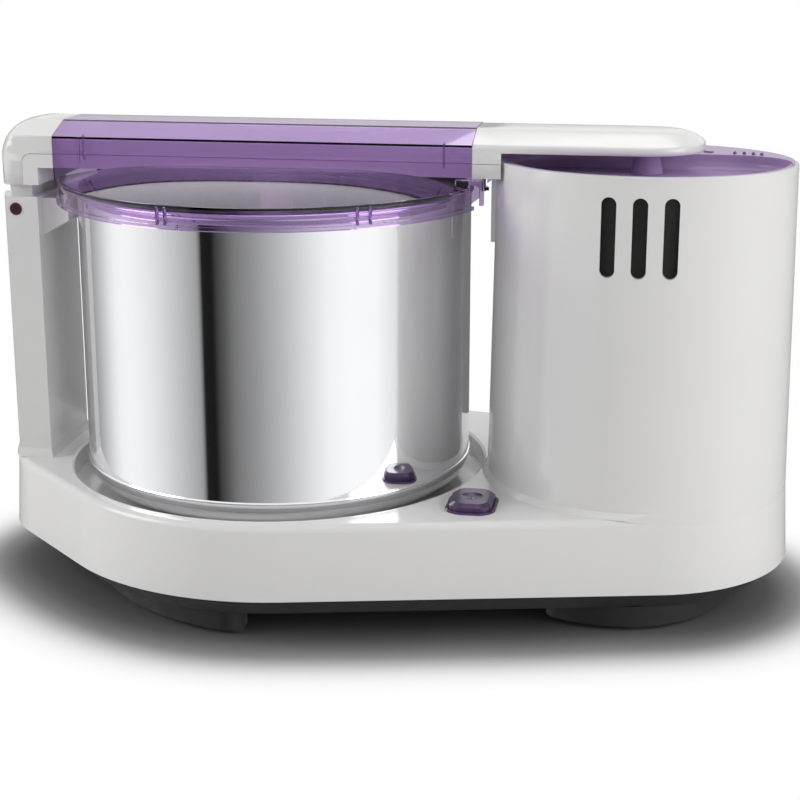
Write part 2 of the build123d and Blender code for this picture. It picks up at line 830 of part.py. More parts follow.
foot_edge_radius = drum_radius - drum_foot_inset
spindle_hole = spindle_radius + dog_play
with BuildPart() as drum_shell:
    with BuildSketch(drum_plane):
        with BuildLine():
            outer_foot = RadiusArc(
                (foot_edge_radius, drum_bottom_z), (drum_radius, drum_seam_z), -(drum_seam_z - drum_bottom_z)
            )
            inner_foot = RadiusArc(
                (foot_edge_radius, drum_bottom_z + drum_wall),
                (drum_inner_radius, drum_seam_z),
                -(drum_seam_z - drum_bottom_z - drum_wall),
            )
            Line((spindle_hole, drum_bottom_z), outer_foot @ 0)
            Line((spindle_hole, drum_bottom_z + drum_wall), inner_foot @ 0)
            Line((spindle_hole, drum_bottom_z), (spindle_hole, drum_bottom_z + drum_wall))
            Line(outer_foot @ 1, inner_foot @ 1)
        make_face()
        add(ring_profile(drum_inner_radius, drum_radius, drum_seam_z, drum_top_z))
        # Bead above the foot, and the rolled lip
        with Locations((drum_radius, drum_seam_z + drum_bead)):
            Circle(drum_bead)
        with Locations((drum_radius, drum_top_z - drum_lip)):
            Circle(drum_lip)
        split_low = drum_seam_z - 2 * drum_bead
        add(
            ring_profile(drum_inner_radius - 2 * drum_lip, drum_inner_radius, split_low, drum_top_z),
            mode=Mode.SUBTRACT,
        )
    revolve(axis=drum_axis)
save(drum_shell, "drum_shell")

tube_flange_radius = centre_tube_radius + bearing_flange
tube_low_z = drum_bottom_z + drum_wall
tube_flange_z = tube_low_z + centre_tube_flange
with BuildPart() as base_stone:
    with BuildSketch(drum_plane):
        add(
            ring_profile(
                centre_tube_radius + stone_clearance, drum_inner_radius - stone_clearance,
                tube_low_z, base_stone_z,
            )
        )
        add(
            ring_profile(0, tube_flange_radius + seat_gap, drum_bottom_z, tube_flange_z + seat_gap),
            mode=Mode.SUBTRACT,
        )
        outer = vertices().sort_by(Axis.X)[-2:]
        fillet(outer.sort_by(Axis.Y)[0], radius=base_stone_foot_round)
        fillet(vertices().sort_by(Axis.X)[-2:].sort_by(Axis.Y)[-1], radius=base_stone_round)
    revolve(axis=drum_axis)
save(base_stone, "base_stone")

with BuildPart() as centre_tube:
    with BuildSketch(drum_plane):
        add(ring_profile(0, centre_tube_radius, tube_low_z, centre_tube_top))
        add(ring_profile(0, tube_flange_radius, tube_low_z, tube_flange_z))
        add(ring_profile(0, spindle_radius + pin_fit, drum_bottom_z, spindle_top_z), mode=Mode.SUBTRACT)
        add(
            ring_profile(
                0, centre_tube_radius - centre_tube_wall, spindle_top_z + centre_tube_wall,
                centre_tube_top - centre_tube_wall,
            ),
            mode=Mode.SUBTRACT,
        )
        fillet(vertices().sort_by(Axis.Y)[-2:].sort_by(Axis.X)[-1], radius=centre_tube_wall)
    revolve(axis=drum_axis)
save(centre_tube, "centre_tube")

with BuildPart() as drum_coupling:
    with BuildSketch(Plane((drum_x, 0, drum_bottom_z - dog_height))):
        Circle(tube_flange_radius)
        RegularPolygon(dog_radius + dog_play, 6, mode=Mode.SUBTRACT)
    extrude(amount=dog_height)
save(drum_coupling, "drum_coupling")

with BuildPart() as spindle:
    with BuildSketch(Plane((drum_x, 0, spindle_bottom_z))):
        Circle(spindle_radius)
    extrude(amount=spindle_top_z - spindle_bottom_z)
    with BuildSketch(Plane((drum_x, 0, drum_bottom_z - dog_height))):
        RegularPolygon(dog_radius, 6)
    extrude(amount=dog_height - dog_play)
    chamfer(spindle.edges().group_by(Axis.Z)[-1], length=spindle_chamfer)
save(spindle, "spindle")

pulley_low_z = belt_z - pulley_flange
pulley_high_z = belt_z + belt_width + pulley_flange
with BuildPart() as driven_pulley:
    with BuildSketch(drum_plane):
        add(ring_profile(spindle_radius + pin_fit, driven_pulley_radius, belt_z, belt_z + belt_width))
        add(ring_profile(spindle_radius + pin_fit, pulley_hub_radius, pulley_low_z, pulley_high_z))
        for low in (pulley_low_z, belt_z + belt_width):
            add(
                ring_profile(
                    driven_pulley_radius - pulley_flange_rise, driven_pulley_radius + pulley_flange_rise,
                    low, low + pulley_flange,
                )
            )
        # The web between hub and rim is thinner than the rim
        web_inner = pulley_hub_radius + pulley_flange_rise
        web_outer = driven_pulley_radius - 2 * pulley_flange_rise
        web_depth = (belt_width - pulley_web) / 2
        for low in (belt_z, belt_z + belt_width - web_depth):
            add(ring_profile(web_inner, web_outer, low, low + web_depth), mode=Mode.SUBTRACT)
    revolve(axis=drum_axis)
    with BuildSketch(Plane((drum_x, 0, pulley_low_z))):
        with PolarLocations((web_inner + web_outer) / 2, pulley_spoke_count):
            Circle(pulley_spoke_hole / 2)
    extrude(amount=pulley_high_z - pulley_low_z, mode=Mode.SUBTRACT)
save(driven_pulley, "driven_pulley")

# Bearings under the well

bearing_top_z = well_floor_z - wall / 2
housing_low_z = bearing_top_z - 2 * bearing_height - 2 * seat_gap
house_radius = bearing_outer + bearing_house_wall
with BuildPart() as bearing_housing:
    with BuildSketch(drum_plane):
        add(ring_profile(bearing_outer + pin_fit, house_radius, housing_low_z, well_floor_z - wall))
        add(
            ring_profile(
                bearing_outer + pin_fit, bearing_outer + bearing_flange,
                well_floor_z - 2 * wall, well_floor_z - wall,
            )
        )
        add(ring_profile(bearing_outer - wall, house_radius, housing_low_z - seat_gap, housing_low_z))
    revolve(axis=drum_axis)
save(bearing_housing, "bearing_housing")
for index, low in enumerate((housing_low_z, housing_low_z + bearing_height + seat_gap)):
    with BuildPart() as bearing:
        with BuildSketch(drum_plane):
            add(ring_profile(spindle_radius + pin_running, bearing_outer, low, low + bearing_height))
            chamfer(vertices().sort_by(Axis.X)[-2:], length=seat_gap)
        revolve(axis=drum_axis)
    save(bearing, f"spindle_bearing_{index + 1}")

# Motor in the tower

plate_z = deck_z - wall
plate_top_z = plate_z + motor_plate
core_low_z = plate_top_z + motor_bell_height
core_high_z = core_low_z + motor_core_height
bell_high_z = core_high_z + motor_bell_height
with BuildPart() as motor_plate_part:
    with BuildSketch(Plane.XY.offset(plate_z)):
        with Locations((tower_x, 0)):
            Circle(tower_inner_radius - cap_clearance)
            Circle(2 * motor_shaft_radius, mode=Mode.SUBTRACT)
            with PolarLocations(motor_ledge_radius - 2 * motor_shaft_radius, fan_blades):
                Circle(motor_shaft_radius, mode=Mode.SUBTRACT)
    extrude(amount=motor_plate)
save(motor_plate_part, "motor_plate")

tie_radius = motor_bell_radius - tie_bolt_head
with BuildPart() as motor_stator:
    with BuildSketch(Plane.XY.offset(core_low_z)):
        with Locations((tower_x, 0)):
            Circle(motor_radius)
            Circle(rotor_radius + rotor_gap, mode=Mode.SUBTRACT)
            with PolarLocations(tie_radius, tie_bolt_count, tie_bolt_start):
                Circle(tie_bolt_radius + pin_fit, mode=Mode.SUBTRACT)
    extrude(amount=motor_core_height)
save(motor_stator, "motor_stator")

bell_wall = 2 * tie_bolt_head
for low, floor_low, name in (
    (plate_top_z, plate_top_z, "motor_bell_lower"),
    (core_high_z, bell_high_z - motor_plate, "motor_bell_upper"),
):
    with BuildPart() as motor_bell:
        with BuildSketch(tower_plane):
            add(ring_profile(motor_bell_radius - bell_wall, motor_bell_radius, low, low + motor_bell_height))
            add(
                ring_profile(
                    motor_shaft_radius + motor_running, motor_bell_radius, floor_low, floor_low + motor_plate
                )
            )
        revolve(axis=tower_axis)
        with BuildSketch(Plane.XY.offset(low)):
            with Locations((tower_x, 0)):
                with PolarLocations(tie_radius, tie_bolt_count, tie_bolt_start):
                    Circle(tie_bolt_radius + pin_fit)
        extrude(amount=motor_bell_height, mode=Mode.SUBTRACT)
    save(motor_bell, name)

for index in range(tie_bolt_count):
    x, y = polar(tower_x, tie_radius, tie_bolt_start + 360 * index / tie_bolt_count)
    with BuildPart() as tie_bolt:
        with BuildSketch(Plane((x, y, plate_top_z))):
            Circle(tie_bolt_radius)
        extrude(amount=bell_high_z - plate_top_z)
        with BuildSketch(Plane((x, y, bell_high_z))):
            RegularPolygon(tie_bolt_head, 6)
        extrude(amount=tie_bolt_head_height)
    save(tie_bolt, f"motor_bolt_{index + 1}")

fan_low_z = bell_high_z + tie_bolt_head_height + 2 * overrun
with BuildPart() as motor_rotor:
    with BuildSketch(Plane((tower_x, 0, pulley_low_z - overrun))):
        Circle(motor_shaft_radius)
    extrude(amount=fan_low_z + fan_height - pulley_low_z + 2 * overrun)
    with BuildSketch(Plane((tower_x, 0, core_low_z + overrun))):
        Circle(rotor_radius)
    extrude(amount=motor_core_height - 2 * overrun)
save(motor_rotor, "motor_rotor")

with BuildPart() as motor_fan:
    with BuildSketch(tower_plane):
        add(ring_profile(motor_shaft_radius + pin_fit, fan_hub_radius, fan_low_z, fan_low_z + fan_height))
        add(ring_profile(motor_shaft_radius + pin_fit, fan_radius, fan_low_z, fan_low_z + fan_blade))
    revolve(axis=tower_axis)
    with BuildSketch(Plane.XY.offset(fan_low_z)):
        with Locations((tower_x, 0)):
            with PolarLocations((fan_hub_radius + fan_radius) / 2, fan_blades):
                Rectangle(fan_radius - fan_hub_radius + overrun, fan_blade)
    extrude(amount=fan_height)
save(motor_fan, "motor_fan")

with BuildPart() as motor_pulley:
    with BuildSketch(tower_plane):
        add(ring_profile(motor_shaft_radius + pin_fit, small_pulley_radius, pulley_low_z, pulley_high_z))
        for low in (pulley_low_z, belt_z + belt_width):
            add(
                ring_profile(
                    motor_shaft_radius + pin_fit, small_pulley_radius + pulley_flange_rise,
                    low, low + pulley_flange,
                )
            )
    revolve(axis=tower_axis)
save(motor_pulley, "motor_pulley")


def belt_loop(gap):
    """Plan of the belt's path at a gap from both pulleys."""
    rounds = ((drum_x, driven_pulley_radius), (tower_x, small_pulley_radius))
    with BuildSketch() as loop:
        make_hull([Edge.make_circle(radius + gap, Plane((x, 0, 0))) for x, radius in rounds])
    return loop.sketch


with BuildPart() as drive_belt:
    with BuildSketch(Plane.XY.offset(belt_z + seat_gap)):
        add(belt_loop(belt_gap + belt_thickness))
        add(belt_loop(belt_gap), mode=Mode.SUBTRACT)
    extrude(amount=belt_width - 2 * seat_gap)
save(drive_belt, "drive_belt")

capacitor_orbit = tower_inner_radius - capacitor_radius - 2 * capacitor_strap
capacitor_point = polar(tower_x, capacitor_orbit, capacitor_angle)
with BuildPart() as capacitor:
    with BuildSketch(Plane((*capacitor_point, capacitor_low_z))):
        Circle(capacitor_radius)
    extrude(amount=capacitor_height)
    fillet(capacitor.edges().group_by(Axis.Z)[-1], radius=capacitor_strap)
save(capacitor, "capacitor")

strap_low_z = capacitor_low_z + (capacitor_height - capacitor_strap_height) / 2
strap_outer = capacitor_radius + seat_gap + capacitor_strap
with BuildPart() as capacitor_clip:
    with BuildSketch(Plane((*capacitor_point, strap_low_z))):
        Circle(strap_outer)
        with Locations(polar(0, strap_outer / 2 + capacitor_strap, capacitor_angle)):
            Rectangle(strap_outer, 2 * capacitor_radius, rotation=capacitor_angle)
    extrude(amount=capacitor_strap_height)
    with BuildSketch(Plane((*capacitor_point, capacitor_low_z))):
        Circle(capacitor_radius + seat_gap)
    extrude(amount=capacitor_height, mode=Mode.SUBTRACT)
    with BuildSketch(Plane.XY.offset(capacitor_low_z)):
        with Locations((tower_x, 0)):
            Circle(tower_inner_radius - seat_gap)
    extrude(amount=capacitor_height, mode=Mode.INTERSECT)
save(capacitor_clip, "capacitor_clip")

liner_high_z = tower_top_z - cap_dish_depth - cap_wall - 3 * seat_gap
liner_low_z = vent_low_z - baffle_overlap
with BuildPart() as vent_liner:
    with BuildSketch(Plane.XY.offset(liner_low_z)):
        with Locations((tower_x, 0)):
            Circle(tower_inner_radius - seat_gap)
            Circle(tower_inner_radius - seat_gap - baffle_thickness, mode=Mode.SUBTRACT)
            reach_y = -2 * tower_foot_radius
            half_width = -reach_y * tan(radians(baffle_angle / 2))
            Polygon(
                (0, 0), (half_width, reach_y), (-half_width, reach_y), align=None, mode=Mode.INTERSECT
            )
    extrude(amount=liner_high_z - liner_low_z)
save(vent_liner, "vent_liner")


# Grinding stones on the fixed holder


def cone_plane(side):
    """Half-section plane of a roller: its X is square to the roller's axis and its Y runs along it."""
    lean = radians(cone_angle)
    return Plane(
        (drum_x, 0, base_stone_z + roller_gap),
        x_dir=(-side * sin(lean), 0, cos(lean)),
        z_dir=(0, side, 0),
    )


def cone_axis(side):
    """Axis of a roller, from the cone's point outward."""
    lean = radians(cone_angle)
    return Axis((drum_x, 0, base_stone_z + roller_gap), (side * cos(lean), 0, sin(lean)))


def axle_plane(side, distance):
    """Plane square to a roller's axis at a distance from the cone's point."""
    axis = cone_axis(side)
    return Plane(axis.position + axis.direction * distance, z_dir=axis.direction)


bush_outer = axle_radius + bush_running + bush_wall
bush_collar = bush_outer + bush_wall
boss_end = roller_inner - bush_wall - 2 * seat_gap
axle_corner = centre_tube_radius + 2 * holder_running + axle_radius * sin(radians(cone_angle))
axle_start = axle_corner / cos(radians(cone_angle))
axle_end = roller_outer + axle_overhang
recess_floor = roller_outer - roller_recess
for index, side in enumerate((1, -1)):
    slope = tan(radians(cone_angle))
    with BuildPart() as roller_stone:
        with BuildSketch(cone_plane(side)):
            with BuildLine():
                Polyline(
                    (bush_outer, roller_inner),
                    (roller_inner * slope, roller_inner),
                    (roller_outer * slope, roller_outer),
                    (bush_outer, roller_outer),
                    close=True,
                )
            make_face()
            fillet(vertices().sort_by(Axis.X)[-1], radius=roller_round)
            fillet(vertices().sort_by(Axis.Y)[:2].sort_by(Axis.X)[-1], radius=roller_round / 2)
            # Round recess for the nut
            add(
                ring_profile(bush_outer, nut_radius + 2 * overrun, recess_floor, roller_outer + overrun),
                mode=Mode.SUBTRACT,
            )
        revolve(axis=cone_axis(side))
    save(roller_stone, f"roller_stone_{index + 1}")
    with BuildPart() as roller_bush:
        with BuildSketch(cone_plane(side)):
            add(ring_profile(axle_radius + bush_running, bush_outer, roller_inner - bush_wall, recess_floor))
            add(ring_profile(axle_radius + bush_running, bush_collar, roller_inner - bush_wall, roller_inner))
        revolve(axis=cone_axis(side))
    save(roller_bush, f"roller_bush_{index + 1}")
    with BuildPart() as roller_axle:
        with BuildSketch(axle_plane(side, axle_start)):
            Circle(axle_radius)
        extrude(amount=axle_end - axle_start)
        with BuildSketch(axle_plane(side, recess_floor + 2 * seat_gap)):
            RegularPolygon(nut_radius, 6)
        extrude(amount=axle_radius)
        chamfer(roller_axle.edges().filter_by(GeomType.CIRCLE).sort_by(Axis.Z)[-1], length=overrun)
    save(roller_axle, f"roller_axle_{index + 1}")

holder_bore = centre_tube_radius + holder_running
holder_outer = holder_bore + holder_wall
holder_low_z = base_stone_z + holder_lift
holder_roof_z = centre_tube_top + 2 * holder_running
with BuildPart() as stone_holder:
    for side in (1, -1):
        with BuildSketch(axle_plane(side, axle_start)):
            Circle(boss_radius)
        extrude(amount=boss_end - axle_start)
    with BuildSketch(Plane((drum_x, 0, base_stone_z - boss_radius))):
        Circle(roller_inner)
    extrude(amount=boss_radius + holder_lift, mode=Mode.SUBTRACT)
    with BuildSketch(drum_plane):
        with BuildLine():
            Polyline(
                (0, holder_low_z),
                (holder_outer, holder_low_z),
                (holder_outer, holder_roof_z),
                (holder_shaft_radius + holder_wall / 2, holder_roof_z + holder_shoulder),
                (holder_shaft_radius, holder_roof_z + 2 * holder_shoulder),
                (holder_shaft_radius, holder_shaft_top),
                (0, holder_shaft_top),
                close=True,
            )
        make_face()
    revolve(axis=drum_axis)
    with BuildSketch(drum_plane):
        add(ring_profile(0, holder_bore, holder_low_z - boss_radius, holder_roof_z))
    revolve(axis=drum_axis, mode=Mode.SUBTRACT)
    for side in (1, -1):
        with BuildSketch(axle_plane(side, axle_start)):
            Circle(axle_radius + pin_fit)
        extrude(amount=boss_end, mode=Mode.SUBTRACT)
    fillet(stone_holder.edges().group_by(Axis.Z)[-1], radius=holder_round)
save(stone_holder, "stone_holder")

scraper_low_z = base_stone_z + scraper_low_gap
scraper_end_radius = drum_inner_radius - scraper_wall_gap - scraper_thickness / 2
with BuildPart() as scraper:
    with BuildLine() as blade:
        RadiusArc(
            polar(drum_x, holder_outer, scraper_start_angle),
            polar(drum_x, scraper_end_radius, scraper_end_angle),
            drum_radius,
        )
    with BuildSketch(Plane.XY.offset(scraper_low_z)):
        SlotArc(blade.edge(), scraper_thickness)
    extrude(amount=scraper_height)
    with BuildSketch(Plane((drum_x, 0, scraper_low_z))):
        Circle(holder_outer)
    extrude(amount=scraper_height, mode=Mode.SUBTRACT)
save(scraper, "scraper")

# Pressure cup that holds the stones down, with its spring


def coil_spring(base, radius, wire, height, turns):
    """Round-wire spring standing on a point."""
    with BuildPart() as coil:
        with BuildLine(Plane((base[0], base[1], base[2] + wire))) as path:
            Helix(pitch=(height - 2 * wire) / turns, height=height - 2 * wire, radius=radius)
        with BuildSketch(Plane(path.edge() @ 0, z_dir=path.edge() % 0)):
            Circle(wire)
        sweep(is_frenet=True)
    return coil


cup_low_z = holder_shaft_top - cup_below
flange_low_z = arm_bottom_z + arm_wall + seat_gap
with BuildPart() as pressure_cup:
    with BuildSketch(drum_plane):
        add(ring_profile(0, cup_radius, cup_low_z, flange_low_z + cup_flange))
        add(ring_profile(0, cup_flange_radius, flange_low_z, flange_low_z + cup_flange))
        add(ring_profile(0, cup_bore, cup_low_z, holder_shaft_top + seat_gap), mode=Mode.SUBTRACT)
    revolve(axis=drum_axis)
save(pressure_cup, "pressure_cup")
cup_spring = coil_spring(
    (drum_x, 0, flange_low_z + cup_flange), spring_radius, spring_wire,
    arm_ceiling_z - flange_low_z - cup_flange, spring_turns,
)
save(cup_spring, "cup_spring")

# Clear lid: a rim and a low dome in two halves, bridged by a tunnel over the arm

slot_half = arm_half - lid_wall
dome_edge_radius = lid_radius - lid_wall
tunnel_low_z = lid_rim_z - lid_wall
with BuildPart() as clear_lid:
    with BuildSketch(drum_plane):
        with BuildLine():
            dome = TangentArc((lid_crown_radius, lid_crown_z), (lid_radius, lid_rim_z), tangent=(1, 0))
            under = TangentArc(
                (lid_crown_radius, lid_crown_z - lid_wall), (lid_radius, lid_rim_z - lid_wall), tangent=(1, 0)
            )
            Polyline(dome @ 0, (0, lid_crown_z), (0, lid_crown_z - lid_wall), under @ 0)
            Line(dome @ 1, under @ 1)
        make_face()
        add(ring_profile(dome_edge_radius, lid_radius, lid_bottom_z, lid_rim_z - lid_wall / 2))
        add(ring_profile(dome_edge_radius, lid_radius + lid_flange, lid_bottom_z, lid_bottom_z + lid_flange))
        add(ring_profile(dome_edge_radius, lid_radius + lid_bead, lid_rim_z - lid_flange, lid_rim_z))
    revolve(axis=drum_axis)
    with BuildSketch(Plane((drum_x, 0, lid_bottom_z - overrun))):
        Rectangle(4 * lid_radius, 2 * slot_half)
    extrude(amount=lid_crown_z - lid_bottom_z + 2 * overrun, mode=Mode.SUBTRACT)
    with BuildSketch(along_plane(lid_left_x)):
        add(arm_section(0, tunnel_low_z))
        add(arm_section(-lid_wall, tunnel_low_z - overrun), mode=Mode.SUBTRACT)
    extrude(amount=lid_right_x - lid_left_x)
    # The walls end at the dome's underside
    with BuildSketch(drum_plane):
        with BuildLine():
            inner_under = TangentArc(
                (lid_crown_radius, lid_crown_z - lid_wall), (lid_radius, lid_rim_z - lid_wall), tangent=(1, 0)
            )
            Polyline(
                inner_under @ 1, (lid_radius, lid_bottom_z), (0, lid_bottom_z),
                (0, lid_crown_z - lid_wall), inner_under @ 0,
            )
        make_face()
        add(
            ring_profile(dome_edge_radius, lid_radius + overrun, lid_bottom_z - overrun, lid_rim_z),
            mode=Mode.SUBTRACT,
        )
    revolve(axis=drum_axis, mode=Mode.SUBTRACT)
    # The rim stops beside the arm's wider end, so that the lid lifts straight off
    hook_inner_y = arm_half + lid_hook_gap
    with BuildSketch(Plane((lid_right_x, 0, lid_bottom_z - overrun))):
        with Locations((lid_radius, 0)):
            Rectangle(2 * lid_radius, 2 * hook_inner_y)
    extrude(amount=lid_crown_z - lid_bottom_z, mode=Mode.SUBTRACT)
    # Finger hooks at the tower end, and small ribs near both ends
    hook_top_z = arm_bottom_z - lid_hook_gap
    hook_low_z = hook_top_z - lid_hook_drop
    hook_under_z = hook_top_z - lid_wall
    for side in (-1, 1):
        with BuildSketch(
            Plane((lid_right_x, side * hook_inner_y, 0), x_dir=(1, 0, 0), z_dir=(0, -1, 0))
        ):
            with BuildLine():
                Polyline(
                    (0, hook_top_z), (lid_hook_reach, hook_top_z), (lid_hook_reach, hook_low_z),
                    (lid_hook_reach - lid_wall, hook_low_z), (lid_hook_reach - lid_wall, hook_under_z),
                    (0, hook_under_z), close=True,
                )
            make_face()
        extrude(amount=-side * lid_hook_width)
        root_y = side * (hook_inner_y + (lid_hook_width - lid_wall) / 2)
        with BuildSketch(Plane((lid_right_x - lid_hook_root / 2, root_y, lid_rim_z))):
            Rectangle(lid_hook_root, lid_hook_width + lid_wall)
        extrude(amount=hook_top_z - lid_rim_z)
        rib_y = side * (slot_half + lid_wall + lid_rib_proud / 2)
        with BuildSketch(Plane.XY.offset(arm_top_z - arm_bevel_height - lid_rib_height)):
            with Locations((lid_left_x + lid_rib_inset, rib_y), (lid_right_x - lid_rib_inset, rib_y)):
                Rectangle(lid_rib_width, lid_rib_proud)
        extrude(amount=lid_rib_height)
save(clear_lid, "clear_lid")

# Top of the tower

cap_radius = tower_inner_radius - cap_clearance
dish_z = tower_mid_z - cap_dish_depth
cap_low_z = dish_z - 2 * cap_wall


def dish_plan(radius):
    """Plan of the dish in the tower's top: round at the front, with a straight back."""
    with BuildSketch() as plan:
        with Locations((0, dish_back_y - radius)):
            Rectangle(2 * dish_half, 2 * radius)
        fillet(vertices().sort_by(Axis.Y)[-2:], radius=dish_corner)
        Circle(radius, mode=Mode.INTERSECT)
    return plan.sketch


top_axis = Axis((tower_x, 0, tower_mid_z), top_normal)
with BuildPart() as cap_dish:
    with BuildSketch(top_plane.offset(-cap_dish_depth)):
        add(dish_plan(cap_radius - cap_edge))
    extrude(amount=2 * cap_dish_depth)
    fillet(cap_dish.edges().group_by(top_axis)[0], radius=cap_dish_round)
with BuildPart() as tower_cap:
    with BuildSketch(Plane((tower_x, 0, cap_low_z))):
        Circle(cap_radius)
    extrude(amount=tower_top_z - cap_low_z)
    # Top and underside both lean with the tower's top
    with BuildSketch(top_plane):
        Circle(2 * tower_foot_radius)
    extrude(amount=cap_dish_depth, mode=Mode.SUBTRACT)
    with BuildSketch(top_plane.offset(-cap_dish_depth - cap_wall)):
        Circle(2 * tower_foot_radius)
    extrude(amount=-cap_dish_depth, mode=Mode.SUBTRACT)
    # Raised plate behind the dish
    with BuildSketch(top_plane):
        Circle(crescent_radius)
        add(dish_plan(2 * crescent_radius), mode=Mode.SUBTRACT)
    extrude(amount=crescent_height)
    add(cap_dish.part, mode=Mode.SUBTRACT)
save(tower_cap, "tower_cap")

rest_top_z = arm_nose_z - seat_gap
with BuildPart() as arm_rest:
    with BuildSketch(tower_plane):
        with BuildLine():
            Polyline(
                (0, dish_z - overrun), (rest_radius, dish_z - overrun), (rest_top_radius, rest_top_z),
                (0, rest_top_z), close=True,
            )
        make_face()
    revolve(axis=tower_axis)
    fillet(arm_rest.edges().group_by(Axis.Z)[-1], radius=rest_round)
    # Its foot lies on the dish's leaning floor
    with BuildSketch(top_plane.offset(-cap_dish_depth)):
        Circle(2 * rest_radius)
    extrude(amount=-cap_wall, mode=Mode.SUBTRACT)
save(arm_rest, "arm_rest")

with BuildPart() as tower_catch:
    with BuildSketch(Plane((tower_x, 0, catch_low_z))):
        Circle(tower_foot_radius)
        with Locations((-tower_foot_radius, 0)):
            Rectangle(tower_foot_radius, 2 * catch_half, mode=Mode.INTERSECT)
    extrude(amount=catch_high_z - catch_low_z)
    with BuildSketch(tower_plane):
        with BuildLine():
            Polyline(
                (0, deck_z + tower_flare), (tower_foot_radius, deck_z + tower_flare),
                (tower_rim_radius, tower_top_z), (0, tower_top_z), close=True,
            )
        make_face()
    revolve(axis=tower_axis, mode=Mode.SUBTRACT)
save(tower_catch, "tower_catch")

# Push switch in the deck

collar_outset = switch_bezel + pin_cap_clearance
collar_inset = collar_outset + switch_bezel
button_inset = collar_inset + switch_play
collar_low_z = deck_z - wall - switch_travel
with BuildPart() as switch_bezel_part:
    with BuildSketch(Plane((switch_x, switch_y, deck_z))):
        add(switch_plan(0))
    extrude(amount=switch_bezel_rise)
    chamfer(switch_bezel_part.edges().group_by(Axis.Z)[-1], length=switch_bezel_rise / 2)
    with BuildSketch(Plane((switch_x, switch_y, collar_low_z))):
        add(switch_plan(collar_outset))
    extrude(amount=deck_z - collar_low_z)
    with BuildSketch(Plane((switch_x, switch_y, collar_low_z - overrun))):
        add(switch_plan(collar_inset))
    extrude(amount=deck_z - collar_low_z + switch_bezel_rise + 2 * overrun, mode=Mode.SUBTRACT)
save(switch_bezel_part, "switch_bezel")

body_low_z = deck_z - wall - switch_body_height
body_floor_z = body_low_z + switch_bezel * 2
with BuildPart() as switch_body:
    with BuildSketch(Plane((switch_x, switch_y, body_low_z))):
        add(switch_plan(-switch_bezel))
    extrude(amount=switch_body_height)
    with BuildSketch(Plane((switch_x, switch_y, body_floor_z))):
        add(switch_plan(switch_bezel))
    extrude(amount=switch_body_height, mode=Mode.SUBTRACT)
save(switch_body, "switch_body")

button_top_z = deck_z + switch_rise
stem_low_z = body_floor_z + switch_travel + seat_gap
dimple_sphere = (switch_dimple_radius**2 + switch_dimple_depth**2) / (2 * switch_dimple_depth)
with BuildPart() as switch_button:
    with BuildSketch(Plane((switch_x, switch_y, collar_low_z))):
        add(switch_plan(button_inset))
    extrude(amount=button_top_z - collar_low_z)
    chamfer(
        switch_button.edges().group_by(Axis.Z)[-1],
        length=switch_chamfer_down, length2=switch_chamfer_in,
        reference=switch_button.faces().sort_by(Axis.Z)[-1],
    )
    with Locations((switch_x, switch_y, button_top_z + dimple_sphere - switch_dimple_depth)):
        Sphere(dimple_sphere, mode=Mode.SUBTRACT)
    with BuildSketch(Plane((switch_x, switch_y, stem_low_z))):
        Circle(switch_stem_radius)
    extrude(amount=collar_low_z - stem_low_z)
save(switch_button, "switch_button")
switch_spring = coil_spring(
    (switch_x, switch_y, body_floor_z), switch_spring_radius, spring_wire,
    collar_low_z - body_floor_z, switch_spring_turns,
)
save(switch_spring, "switch_spring")

# Mains inlet

with BuildPart() as cord_gland:
    with BuildSketch(gland_plane.offset(-gland_depth)):
        Circle(gland_radius - pin_cap_clearance)
    extrude(amount=gland_depth)
    with BuildSketch(gland_plane):
        Circle(gland_radius + gland_flange)
    extrude(amount=gland_flange_rise)
    outward = Axis((*gland_point, gland_z), gland_normal)
    fillet(cord_gland.edges().group_by(outward)[-1], radius=gland_flange / 2)
    with BuildSketch(gland_plane.offset(-gland_depth)):
        Circle(gland_bore)
    extrude(amount=gland_depth + gland_flange_rise, mode=Mode.SUBTRACT)
save(cord_gland, "cord_gland")
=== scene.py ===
"""Finishes for a table-top wet grinder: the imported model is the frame, and this script gives it its
materials, small trim, floor, light and camera. All lengths are in metres."""
import math

import bmesh
import bpy
from bpy.props import FloatProperty, FloatVectorProperty, IntProperty, PointerProperty
from mathutils import Matrix, Vector


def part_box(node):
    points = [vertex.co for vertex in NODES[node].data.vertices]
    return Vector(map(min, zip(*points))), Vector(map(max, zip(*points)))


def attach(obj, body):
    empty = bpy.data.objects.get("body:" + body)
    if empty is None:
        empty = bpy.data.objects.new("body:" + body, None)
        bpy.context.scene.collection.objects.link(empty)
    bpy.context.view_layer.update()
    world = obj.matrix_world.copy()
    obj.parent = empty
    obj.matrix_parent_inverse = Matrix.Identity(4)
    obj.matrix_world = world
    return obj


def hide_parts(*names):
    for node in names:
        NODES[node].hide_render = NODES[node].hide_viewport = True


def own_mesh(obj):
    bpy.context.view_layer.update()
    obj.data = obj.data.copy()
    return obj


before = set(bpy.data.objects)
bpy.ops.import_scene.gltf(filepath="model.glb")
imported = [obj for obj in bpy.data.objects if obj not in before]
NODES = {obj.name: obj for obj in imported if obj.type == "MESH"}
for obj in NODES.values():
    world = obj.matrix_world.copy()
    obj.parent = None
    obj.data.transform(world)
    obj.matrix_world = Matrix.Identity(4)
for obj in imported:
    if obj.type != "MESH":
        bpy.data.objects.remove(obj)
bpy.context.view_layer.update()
DRUM_X = sum(v.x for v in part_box("drum_shell")) / 2
TOWER_X = sum(v.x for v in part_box("tower_cap")) / 2

bl_info = {
    "name": "Wet grinder finish",
    "version": (1, 0, 0),
    "blender": (4, 5, 0),
    "location": "View3D > Sidebar > Grinder",
    "description": "Materials, trim, stage and camera for a table-top wet grinder",
    "category": "Object",
}


# Places, sizes and light

